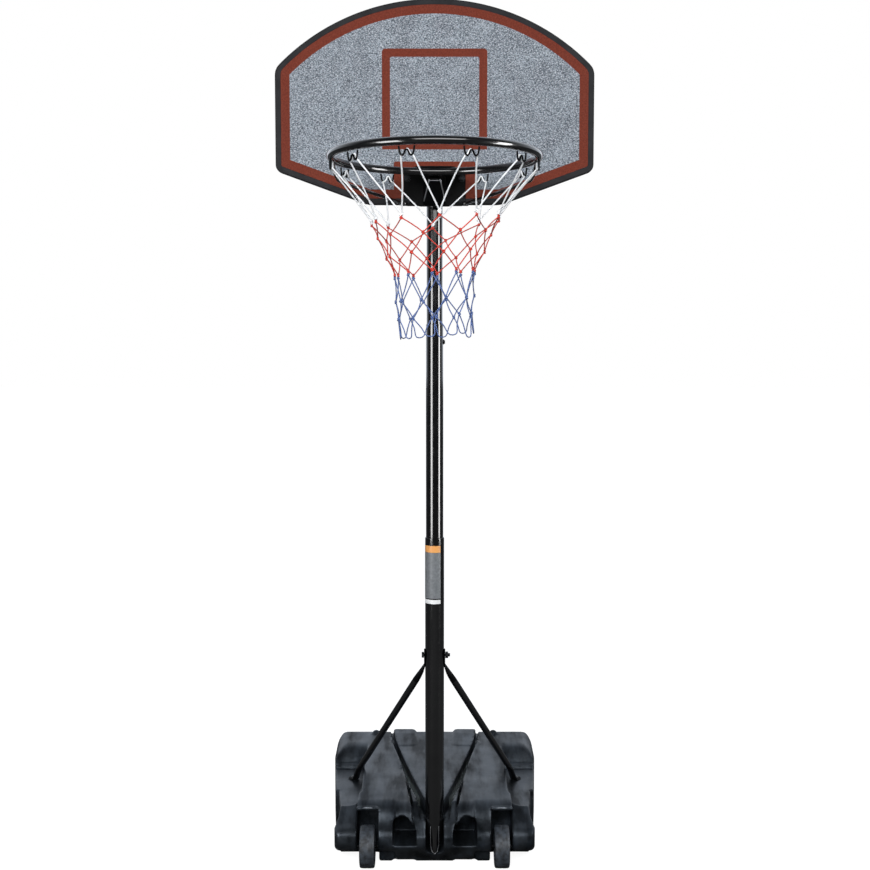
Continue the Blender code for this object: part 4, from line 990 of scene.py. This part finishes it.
def hoop_tree(material):
    """Geometry nodes: a round bar bent to a hoop."""
    tree, given = node_group("hoop", (("Hoop Radius", "Float"), ("Bar Radius", "Float")), "Hoop")
    line, profile = (add(tree, "GeometryNodeCurvePrimitiveCircle",
                         {"Resolution": sides, "Radius": given[label]})
                     for sides, label in ((160, "Hoop Radius"), (28, "Bar Radius")))
    hoop = add(tree, "GeometryNodeCurveToMesh", {"Curve": line, "Profile Curve": profile})
    return hand_out(tree, hoop, material, "Hoop")


hoop = mesh_piece("ring_bar", bpy.data.meshes.new("ring_bar"), enamel)
hoop.data = grown(hoop, hoop_tree(enamel), {"Hoop Radius": RING_R, "Bar Radius": BAR_R})
hoop.data.transform(Matrix.Translation((0, RING_Y, RING_Z)))
hoop.data.shade_smooth()
fit(hoop, "upper_section", "black_paint", "ring")

plate_face = PLATE_BACK_Y - PLATE_SHEET
shelf_z = RING_Z + BAR_R + 0.0003
shelf_top = shelf_z + PLATE_SHEET
tip_y = RING_Y + RING_R + BAR_R
front = plate_face - 0.0003
narrow, chamfer, bend = 0.040, 0.008, 0.005
sections = []
stations = (narrow - 0.004, narrow + 0.004, PLATE_HALF - chamfer, PLATE_HALF - 0.0012, PLATE_HALF)
for x in [-x for x in stations[::-1]] + list(stations):
    share = min((PLATE_HALF - abs(x)) / (PLATE_HALF - narrow), 1.0)
    reach_y = share * (front - tip_y + 0.009) + 0.004
    foot = PLATE_LOW_Z + max(chamfer - (PLATE_HALF - abs(x)), 0)
    outer = arc((PLATE_BACK_Y - bend, shelf_top - bend), bend, 0, 90, 6)
    inner = arc((plate_face - 0.002, shelf_z - 0.002), 0.002, 90, 0, 3)
    fold = [(PLATE_BACK_Y, foot)] + outer + [(plate_face - reach_y, shelf_top),
                                             (plate_face - reach_y, shelf_z)] + inner
    fold += [(plate_face, foot)]
    sections.append([Vector((x, y, z)) for y, z in fold])
plate = finish_piece("ring_plate_folded", loft(sections), satin, 35)
fit(plate, "upper_section", "black_paint", "ring_plate")

gusset_sheet, gusset_bend = 0.0025, 0.0045
sections = []
for y, half, low_z in ((front, 0.0255, PLATE_LOW_Z + 0.001),
                       (front - 0.060, 0.0120, RING_Z - BAR_R - 0.006)):
    top_z, centre = shelf_z - 0.0093, (-half + gusset_bend, low_z + gusset_bend)
    outer, inner = ([(-half + depth, top_z)] + arc(centre, gusset_bend - depth, 180, 270, 6)
                    for depth in (0, gusset_sheet))
    loop = outer + [(-x, z) for x, z in outer[::-1]]
    loop += [(-x, z) for x, z in inner] + inner[::-1]
    sections.append([Vector((x, y, z)) for x, z in loop])
gusset = finish_piece("gusset_folded", loft(sections), satin, 35)
fit(gusset, "upper_section", "black_paint", "ring_gusset")
# Pale strips along the gusset's nose and slanted edges are painted highlights where its folds catch
# the light
tip_z, tip_y = RING_Z - BAR_R - 0.0085, front - 0.0600
for name, ends in (
        ("nose", ((-0.0108, tip_y, tip_z), (0.0108, tip_y, tip_z))),
        ("left", ((-0.0120, tip_y, tip_z + 0.002), (-0.0236, front - 0.009, PLATE_LOW_Z + 0.010))),
        ("right", ((0.0120, tip_y, tip_z + 0.002), (0.0236, front - 0.009, PLATE_LOW_Z + 0.010)))):
    edge = [Vector(ends[0]).lerp(Vector(ends[1]), k / 6) for k in range(7)]
    thick = 0.0009 if name == "nose" else 0.0014
    fit(finish_piece("gusset_painted_highlight_edge_" + name, loft(bar(edge, thick, 8)), painted_highlight_steel, 60),
        "upper_section", "black_paint")

under = RING_Z - BAR_R - BRACE_R - 0.0003
for side, word in HANDS:
    path = [(0.2043, RING_Y + 0.036, under), (0.2035, RING_Y + 0.042, under - 0.010),
            (0.199, RING_Y + 0.052, under - 0.022), (0.188, RING_Y + 0.066, under - 0.030),
            (0.131, RING_Y + 0.150, under - 0.0415),
            (0.0745, front - 0.0085, PLATE_LOW_Z + 0.0065),
            (0.0665, front - 0.0038, PLATE_LOW_Z + 0.0055)]
    line = smoothed([(side * x, y, z) for x, y, z in path], 8)
    rod = finish_piece("brace_rod_" + word, loft(bar(line, BRACE_R, 16)), enamel, 50)
    fit(rod, "upper_section", "black_paint", "ring_brace_" + word)


# ------------------------------------------------------------------ net hooks
# Ten wires bent to a W and welded under the ring. The net's cord lies over each one's
# middle bend and is kept there by its two valleys.
HOOKS, HOOK_STEP, HOOK_BOW, HOOK_WIRE = 10, math.radians(33.5), math.radians(2.5), 0.0018
HOOK_SHAPE = ((-0.0150, 0.0), (-0.0142, -0.006), (-0.0124, -0.013), (-0.0090, -0.0165),
              (-0.0054, -0.0140), (-0.0030, -0.0085), (0.0, -0.0060))


def hook_angle(i):
    """Angle of a hook from the front of the ring, which is welded on a little unevenly."""
    middle = (HOOKS - 1) / 2
    return (i - middle) * HOOK_STEP + HOOK_BOW * (1 - ((i - middle) / middle) ** 2)


def hook_tree(material):
    """Geometry nodes: copies of one wire round the ring, a step apart, with a slight bow."""
    tree, given = node_group("hooks", (("Wire", "Geometry"), ("Hooks", "Int"), ("Step", "Float"),
                                       ("Bow", "Float"), ("Ring Radius", "Float")), "Hooks")
    last = add(tree, "ShaderNodeMath", {0: given["Hooks"], 1: 1.0}, operation='SUBTRACT')
    middle = add(tree, "ShaderNodeMath", {0: last, 1: 0.5}, operation='MULTIPLY')
    place = add(tree, "ShaderNodeMath", {0: add(tree, "GeometryNodeInputIndex"), 1: middle},
                operation='SUBTRACT')
    angle = add(tree, "ShaderNodeMath", {0: place, 1: given["Step"]}, operation='MULTIPLY')
    share = add(tree, "ShaderNodeMath", {0: place, 1: middle}, operation='DIVIDE')
    fall = add(tree, "ShaderNodeMath", {0: share, 1: share}, operation='MULTIPLY')
    rest = add(tree, "ShaderNodeMath", {0: 1.0, 1: fall}, operation='SUBTRACT')
    turned = add(tree, "ShaderNodeMath", {0: rest, 1: given["Bow"], 2: angle},
                 operation='MULTIPLY_ADD')
    out = add(tree, "ShaderNodeMath", {0: given["Ring Radius"], 1: -1.0}, operation='MULTIPLY')
    copies = copied(tree, given["Wire"], add(tree, "ShaderNodeCombineXYZ", {"Y": out}),
                    given["Hooks"], add(tree, "ShaderNodeCombineXYZ", {"Z": turned}))
    return hand_out(tree, copies, material, "Hooks")


wire = smoothed([(x, 0, z) for x, z in HOOK_SHAPE]
                + [(-x, 0, z) for x, z in HOOK_SHAPE[-2::-1]], 4)
hooks = finish_piece("net_hooks", loft(bar(wire, HOOK_WIRE, 10)), satin, 60)
hooks.data = grown(hooks, hook_tree(satin), {"Hooks": HOOKS, "Step": HOOK_STEP,
                                             "Bow": HOOK_BOW, "Ring Radius": RING_R})
hooks.data.transform(Matrix.Translation((0, RING_Y, RING_Z - BAR_R - HOOK_WIRE - 0.0003)))
fit(hooks, "upper_section", "black_paint", *("net_hook_%02d" % (i + 1) for i in range(HOOKS)))


# ------------------------------------------------------------------ bolts and nuts
# Zinc-blackened hexagon bolts hold the ring's plate to the board and its bracket, the stays
# to the pole, and U-bolts hold the brackets to the pole.
PLATE_BOLT_X, LEVELS = 0.061, (("low", 1.551), ("high", 1.598))
FLANGE = 0.0036  # the bracket's flange and its gap, behind the board


def fastener_tree(material):
    """Geometry nodes: a hexagon head on a washer with a round shank, at each given point."""
    sizes = ("Head Radius", "Head Height", "Washer Radius", "Washer Height", "Shank Radius",
             "Shank Length")
    tree, given = node_group("fasteners", [("Places", "Geometry")]
                             + [(label, "Float") for label in sizes] + [("Turn", "Vector")],
                             "Fasteners")
    head, washer = given["Head Radius"], given["Washer Height"]
    face = add(tree, "ShaderNodeMath", {0: head, 1: 0.84}, operation='MULTIPLY')
    joined = add(tree, "GeometryNodeJoinGeometry")
    # The head, the chamfer on it, the washer and the shank. Each one's depth and height are
    # shares of one of the sizes, and the height is counted from the board or the washer.
    for kind, own, label, deep, high, base in (
            ("Cylinder", {"Vertices": 6, "Radius": head}, "Head Height", 0.86, 0.43, washer),
            ("Cone", {"Vertices": 6, "Radius Bottom": head, "Radius Top": face}, "Head Height",
             0.14, 0.86, washer),
            ("Cylinder", {"Vertices": 28, "Radius": given["Washer Radius"]}, "Washer Height",
             1.0, 0.5, 0.0),
            ("Cylinder", {"Vertices": 20, "Radius": given["Shank Radius"]}, "Shank Length",
             1.0, -0.5, 0.0)):
        depth = add(tree, "ShaderNodeMath", {0: given[label], 1: deep}, operation='MULTIPLY')
        height = add(tree, "ShaderNodeMath", {0: given[label], 1: high, 2: base},
                     operation='MULTIPLY_ADD')
        placed = add(tree, "GeometryNodeTransform", {
            "Geometry": add(tree, "GeometryNodeMesh" + kind, {**own, "Depth": depth}),
            "Translation": add(tree, "ShaderNodeCombineXYZ", {"Z": height})})
        tree.links.new(placed.outputs[0], joined.inputs[0])
    copies = add(tree, "GeometryNodeInstanceOnPoints", {
        "Points": given["Places"], "Instance": joined, "Rotation": given["Turn"]})
    return hand_out(tree, copies, material, "Fasteners")


fasteners = fastener_tree(dark_steel)


def bolt_up(name, places, sizes, turn, body, nodes):
    """Like fasteners as one piece; sizes are head, washer and shank as (radius, height)."""
    mesh = bpy.data.meshes.new(name)
    mesh.from_pydata(places, [], [])
    made = mesh_piece(name, mesh, dark_steel)
    (head_r, head_h), (washer_r, washer_h), (shank_r, shank_l) = sizes
    made.data = grown(made, fasteners, {
        "Head Radius": head_r, "Head Height": head_h, "Washer Radius": washer_r,
        "Washer Height": washer_h, "Shank Radius": shank_r, "Shank Length": shank_l,
        "Turn": turn})
    made.data.set_sharp_from_angle(angle=math.radians(30))
    return fit(made, body, "dark_steel", *nodes)


plate_spots = [(side * PLATE_BOLT_X, z) for side, _ in HANDS for _, z in LEVELS]
plate_names = ["%s_%s" % (word, level) for _, word in HANDS for level, _ in LEVELS]
bracket_rear = BOARD_Y + BOARD_THICK + FLANGE
bolt_up("plate_bolts_hex", [(x, front, z) for x, z in plate_spots],
        ((0.0062, 0.0042), (0.0078, 0.0008), (0.0030, 0.030)), (math.pi / 2, 0, 0),
        "upper_section", ["plate_bolt_" + n for n in plate_names])
bolt_up("plate_nuts_hex", [(x, bracket_rear, z) for x, z in plate_spots],
        ((0.0066, 0.0050), (0.0078, 0.0008), (0.0030, 0.001)), (-math.pi / 2, 0, 0),
        "upper_section", ["plate_nut_" + n for n in plate_names])

# The clamp screw at the upper joint is a small bump in the photo, so its nut and its slotted
# head are drawn low and narrow about the CAD's axis.
SCREW_Z = 1.2343


def stepped(rows):
    """Loops along x from the pole's axis at the screw's height; a row is (x, half y, half z)."""
    return [oval((x, POLE_Y, SCREW_Z), (0, b, 0), (0, 0, c), 24) for x, b, c in rows]


fit(finish_piece("clamp_nut", loft(stepped((
    (MIDDLE_R - 0.0012, 0.0058, 0.0058), (MIDDLE_R + 0.0014, 0.0058, 0.0058),
    (MIDDLE_R + 0.0018, 0.0052, 0.0052)))), dark_steel, 30),
    "middle_section", "dark_steel", "lock_nut_upper")
fit(finish_piece("clamp_screw", loft(stepped((
    (MIDDLE_R - 0.0010, 0.0026, 0.0026), (MIDDLE_R + 0.0019, 0.0026, 0.0026),
    (MIDDLE_R + 0.0019, 0.0042, 0.0042), (MIDDLE_R + 0.0034, 0.0042, 0.0042),
    (MIDDLE_R + 0.0040, 0.0036, 0.0036), (MIDDLE_R + 0.0040, 0.0030, 0.0007),
    (MIDDLE_R + 0.0030, 0.0030, 0.0007)))), dark_steel, 30),
    "upper_lock_screw", "dark_steel", "lock_screw_upper")


# ------------------------------------------------------------------ net
# Braided polyester cord, white from the hooks to the first knots, then a red and a blue
# diamond mesh. Each crossing is tied, so it shows as a small hard knot.
NET_ROWS = ((1.4790, 0.131, 3.0, 0.003), (1.4457, 0.115, 25.0, 0.0),
            (1.4085, 0.099, 9.4, 0.0), (1.3745, 0.083, 31.4, 0.001),
            (1.3200, 0.080, 17.6, 0.0), (1.2836, 0.077, 40.0, 0.0),
            (1.2485, 0.074, 26.0, 0.004))
NET_TILT, WHITE_R, MESH_R = 0.006, 0.0016, 0.0012
BRAID_PITCH, BRAID_TURNS, KNOT_STEPS = 0.0045, 3.0, 36
draw = random.Random(7)


def on_ring(angle, radius, along, z):
    """A point by its angle from the ring's front, then a step along the tangent."""
    out = Vector((math.sin(angle), -math.cos(angle), 0))
    tangent = Vector((math.cos(angle), math.sin(angle), 0))
    return Vector((0, RING_Y, z)) + out * radius + tangent * along


def cord_tree(material):
    """Geometry nodes: round cord along each spline. The length along a cord and the turn
    round it are kept for the braid's pattern."""
    tree, given = node_group("cord", (("Lines", "Geometry"), ("Cord Radius", "Float")), "Cord")
    round_line = add(tree, "GeometryNodeCurvePrimitiveCircle", {"Resolution": 9,
                                                                "Radius": given["Cord Radius"]})
    line, profile = (add(tree, "GeometryNodeStoreNamedAttribute", {
        "Geometry": curve, "Name": name,
        "Value": add(tree, "GeometryNodeSplineParameter").outputs[output]},
        data_type='FLOAT', domain='POINT')
        for curve, name, output in ((given["Lines"], "along", "Length"),
                                    (round_line, "around", "Factor")))
    cord = add(tree, "GeometryNodeCurveToMesh", {"Curve": line, "Profile Curve": profile,
                                                 "Fill Caps": True})
    return hand_out(tree, cord, material, "Cord")


def braided(name, dark, light):
    """Braided polyester: strands 1.5 mm wide wind both ways round the cord, matt with a faint silk
    sheen, with painted shade darkening the gaps between them."""
    material, tree, shader, place = new_finish(name, {"Sheen Weight": 0.25, "Sheen Roughness": 0.4,
                                                      "IOR": 1.45, "Roughness": 0.8})
    along = add(tree, "ShaderNodeAttribute", attribute_name="along").outputs["Fac"]
    around = add(tree, "ShaderNodeAttribute", attribute_name="around").outputs["Fac"]
    strands = []
    for sign in (1, -1):
        wind = add(tree, "ShaderNodeMath", {0: around, 1: sign * BRAID_TURNS * math.tau},
                   operation='MULTIPLY')
        total = add(tree, "ShaderNodeMath", {0: along, 1: math.tau / BRAID_PITCH, 2: wind},
                    operation='MULTIPLY_ADD')
        strands.append(add(tree, "ShaderNodeMath", {0: total}, operation='SINE'))
    woven = add(tree, "ShaderNodeMath", {0: strands[0], 1: strands[1]}, operation='MULTIPLY')
    height = add(tree, "ShaderNodeMapRange", {"Value": woven, "From Min": -1.0, "From Max": 1.0})
    fuzz = patches(tree, place, 0.0012, 0.0, 1.0, 2.0)
    # The colour darkens where the strands part, painted shade in the braid's gaps, with random
    # fibre fuzz over it
    shade = add(tree, "ShaderNodeMath", {0: height, 1: fuzz}, operation='MULTIPLY')
    tree.links.new(tint(tree, shade, dark, light), shader.inputs["Base Color"])
    grain(tree, shader, ((height, 0.0004),))
    return material


def slack(a, b, sag, steps=10):
    """A cord between two points that gives a little inwards and to one side."""
    out = ((a + b) / 2 - Vector((0, RING_Y, (a.z + b.z) / 2))).normalized()
    tangent = Vector((-out.y, out.x, 0))
    give = -out * sag * draw.uniform(0.5, 1.2) + tangent * sag * draw.uniform(-0.9, 0.9)
    return [a.lerp(b, k / steps) + give * 4 * (k / steps) * (1 - k / steps)
            for k in range(steps + 1)]


def knot_line(centre, size):
    """The closed line of a tied knot, flat against the net's surface."""
    up, outward = Vector((0, 0, 1)), Vector((centre.x, centre.y - RING_Y, 0)).normalized()
    side = outward.cross(up).normalized()
    turn = draw.uniform(0, math.tau)
    line = []
    for k in range(KNOT_STEPS + 1):
        t = math.tau * k / KNOT_STEPS
        u, v, w = (math.sin(t) + 2 * math.sin(2 * t), math.cos(t) - 2 * math.cos(2 * t),
                   -math.sin(3 * t))
        u, v = (u * math.cos(turn) - v * math.sin(turn), u * math.sin(turn) + v * math.cos(turn))
        line.append(centre + (side * u + up * v * 1.2 + outward * w * 1.5) * size)
    return line


def cord_piece(name, lines, radius, material, node):
    """Cords along all the lines as one piece of the net."""
    curve = bpy.data.curves.new(name, 'CURVE')
    curve.dimensions = '3D'
    for line in lines:
        spline = curve.splines.new('POLY')
        spline.points.add(len(line) - 1)
        for point, here in zip(spline.points, line):
            point.co = (*here, 1)
    holder = bpy.data.objects.new(name + "_lines", curve)
    bpy.context.scene.collection.objects.link(holder)
    mesh = grown(holder, cord_tree(material), {"Cord Radius": radius})
    bpy.data.objects.remove(holder)
    made = mesh_piece(name, mesh, material)
    return fit(made, "upper_section", name.split("_")[1] + "_cord", node)


def net_knot(row, i):
    """Where a row's knot hangs; the rows turn a little against each other, drift and lean."""
    z, radius, turn, drift = NET_ROWS[row]
    step = HOOK_STEP if row == 0 else math.tau / HOOKS
    turned = math.radians(turn) + (i % HOOKS - HOOKS // 2 + 1) * step
    if row == 0 and i % HOOKS == HOOKS - 1:
        turned = math.pi + math.radians(turn)
    spot = on_ring(turned, radius, 0, z + NET_TILT * math.sin(turned))
    return spot + Vector((drift, 0, 0))


def mesh_lines(knots, first, hem):
    """Cords and knots of a diamond mesh from one row of knots to the next."""
    lines = []
    for number in range(len(knots) - 1):
        above, below = knots[number], knots[number + 1]
        for i in range(HOOKS):
            pair = (i, i + 1) if (first + number) % 2 == 0 else (i - 1, i)
            ends = [above[k % HOOKS] for k in pair]
            if hem and number == len(knots) - 2:
                low = below[i] + Vector((0, 0, draw.uniform(-0.006, 0.003)))
                side = (ends[1] - ends[0]) * 0.16
                lines.append(smoothed([ends[0], ends[0].lerp(low, 0.5) - side * 0.3,
                                       low - side, low + side,
                                       ends[1].lerp(low, 0.5) + side * 0.3, ends[1]], 5))
            else:
                lines += [slack(end, below[i], 0.0022) for end in ends]
    tied = knots[:-1] if hem else knots
    return lines + [knot_line(centre, 0.0009) for row in tied for centre in row]


def jittered(row, drop=0.0):
    """One row of knots, each a little off its place."""
    return [net_knot(row, i) + Vector([draw.uniform(-0.002, 0.002) for _ in range(3)])
            - Vector((0, 0, drop)) for i in range(HOOKS)]


under_bar = RING_Z - BAR_R
loop = [(-0.0122, -0.0030, -0.0190), (-0.0086, -0.0046, -0.0178), (-0.0054, -0.0046, -0.0140),
        (-0.0028, -0.0046, -0.0088), (0.0, -0.0046, -0.0064)]
loop += [(-x, r, z) for x, r, z in loop[-2::-1]]
first = [net_knot(0, i) for i in range(HOOKS)]
white_lines = []
for i in range(HOOKS):
    a = hook_angle(i)
    left, right = first[i - 1] + Vector((0, 0, 0.003)), first[i] + Vector((0, 0, 0.003))
    over = smoothed([on_ring(a, RING_R + r, x, under_bar + z) for x, r, z in loop], 4)
    white_lines.append(slack(left, over[0], 0.0025, 14)[:-1] + over
                       + slack(over[-1], right, 0.0025, 14)[1:])
white_lines += [knot_line(spot + Vector((0, 0, 0.002)), 0.0011) for spot in first]
red_knots = [[spot - Vector((0, 0, 0.005)) for spot in first]]
red_knots += [jittered(row) for row in (1, 2, 3)]
blue_knots = [[spot - Vector((0, 0, 0.006)) for spot in red_knots[-1]]]
blue_knots += [jittered(row) for row in (4, 5, 6)]
cord_piece("net_white", white_lines, WHITE_R, braided("braided_white_cord", "#dfe2e6", "#fbfcfd"),
           "net_white_cords")
cord_piece("net_red", mesh_lines(red_knots, 0, False), MESH_R,
           braided("braided_red_cord", "#b02a1c", "#ec4634"), "net_red_mesh")
cord_piece("net_blue", mesh_lines(blue_knots, 3, True), MESH_R,
           braided("braided_blue_cord", "#3a5187", "#748cc2"), "net_blue_mesh")


# ------------------------------------------------------------------ studio
# A white cove: the floor and backdrop are white to the camera, the side behind the camera is
# dim, and tall soft boxes left and right of the camera draw the lines down the pole.
CAMERA_X, CAMERA_Y, CAMERA_Z = 0.0009, -2.7525, 1.2338
CAMERA_PITCH = math.radians(90 - 4.373)
LENS, SENSOR = 50.216, 36.0
FLOOR_GLOW, FLOOR_OWN, FLOOR_HALF = 1.30, 0.70, 30


def floor_finish():
    """Matt white floor: mostly its own light to the camera, so that the shadow is soft, and a
    middle grey to every other ray, so that little light comes back up from it."""
    material, tree, shader, _ = new_finish("white_studio_floor", {"Roughness": 0.9})
    seen = add(tree, "ShaderNodeLightPath").outputs["Is Camera Ray"]
    tree.links.new(tint(tree, seen, "#4e4e4e", "#f6f6f6"), shader.inputs["Base Color"])
    glow = add(tree, "ShaderNodeEmission", {"Color": linear("#ffffff"), "Strength": FLOOR_GLOW})
    share = add(tree, "ShaderNodeMath", {0: seen, 1: FLOOR_OWN}, operation='MULTIPLY')
    mixed = add(tree, "ShaderNodeMixShader", {0: share, 1: shader, 2: glow})
    tree.links.new(mixed.outputs[0], tree.nodes["Material Output"].inputs["Surface"])
    return material


ground = bpy.data.meshes.new("studio_floor")
ground.from_pydata([(x * FLOOR_HALF, y * FLOOR_HALF, 0) for x, y in
                    ((-1, -1), (1, -1), (1, 1), (-1, 1))], [], [(0, 1, 2, 3)])
mesh_piece("studio_floor", ground, floor_finish())

scene = bpy.context.scene
world = bpy.data.worlds.new("studio_world")
scene.world = world
world.use_nodes = True
tree = world.node_tree
direction = add(tree, "ShaderNodeTexCoord").outputs["Generated"]
split = add(tree, "ShaderNodeSeparateXYZ", {"Vector": direction})
behind = add(tree, "ShaderNodeMapRange", {"Value": split.outputs["Y"], "From Min": -0.1,
                                          "From Max": 0.9, "To Min": 0.06, "To Max": 1.3})
path = add(tree, "ShaderNodeLightPath")
clear = add(tree, "ShaderNodeMath", {0: path.outputs["Is Camera Ray"],
                                     1: path.outputs["Is Transmission Ray"]}, operation='MAXIMUM')
level = add(tree, "ShaderNodeMix", {0: clear, 2: behind, 3: 1.0}, data_type='FLOAT')
tree.links.new(level.outputs[0], tree.nodes["Background"].inputs["Strength"])
tree.links.new(tint(tree, clear, "#eef5ff", "#ffffff"),
               tree.nodes["Background"].inputs["Color"])


def soft_box(name, place, target, size, watts):
    """A rectangular soft box that faces a point."""
    light = bpy.data.lights.new(name, 'AREA')
    light.shape = 'RECTANGLE'
    light.size, light.size_y = size
    light.energy = watts
    lamp = bpy.data.objects.new(name, light)
    bpy.context.scene.collection.objects.link(lamp)
    lamp.location = place
    lamp.rotation_euler = (Vector(target) - Vector(place)).to_track_quat('-Z', 'Y').to_euler()
    return lamp


for name, place, height, width, watts in (
        ("soft_box_left", (-1.31, -1.50), (0.45, 1.58), 0.78, 27),
        ("soft_box_right", (1.81, -0.81), (0.45, 1.95), 0.62, 36)):
    centre = sum(height) / 2
    tall = soft_box(name, (*place, centre), (0, POLE_Y, centre), (width, height[1] - height[0]),
                    watts)
    tall.visible_diffuse = False
soft_box("front_light", (0.3, -3.4, 2.6), (0, 0, 1.1), (3.0, 1.6), 66)
wash = soft_box("front_wash", (-0.6, -3.6, 2.4), (0, 0, 1.2), (2.4, 1.6), 142)
wash.visible_glossy = False

lens = bpy.data.cameras.new("photo_camera")
lens.lens, lens.sensor_width = LENS, SENSOR
camera = bpy.data.objects.new("photo_camera", lens)
scene.collection.objects.link(camera)
camera.location = (CAMERA_X, CAMERA_Y, CAMERA_Z)
camera.rotation_euler = (CAMERA_PITCH, 0, 0)
scene.camera = camera
scene.view_settings.view_transform = 'Standard'
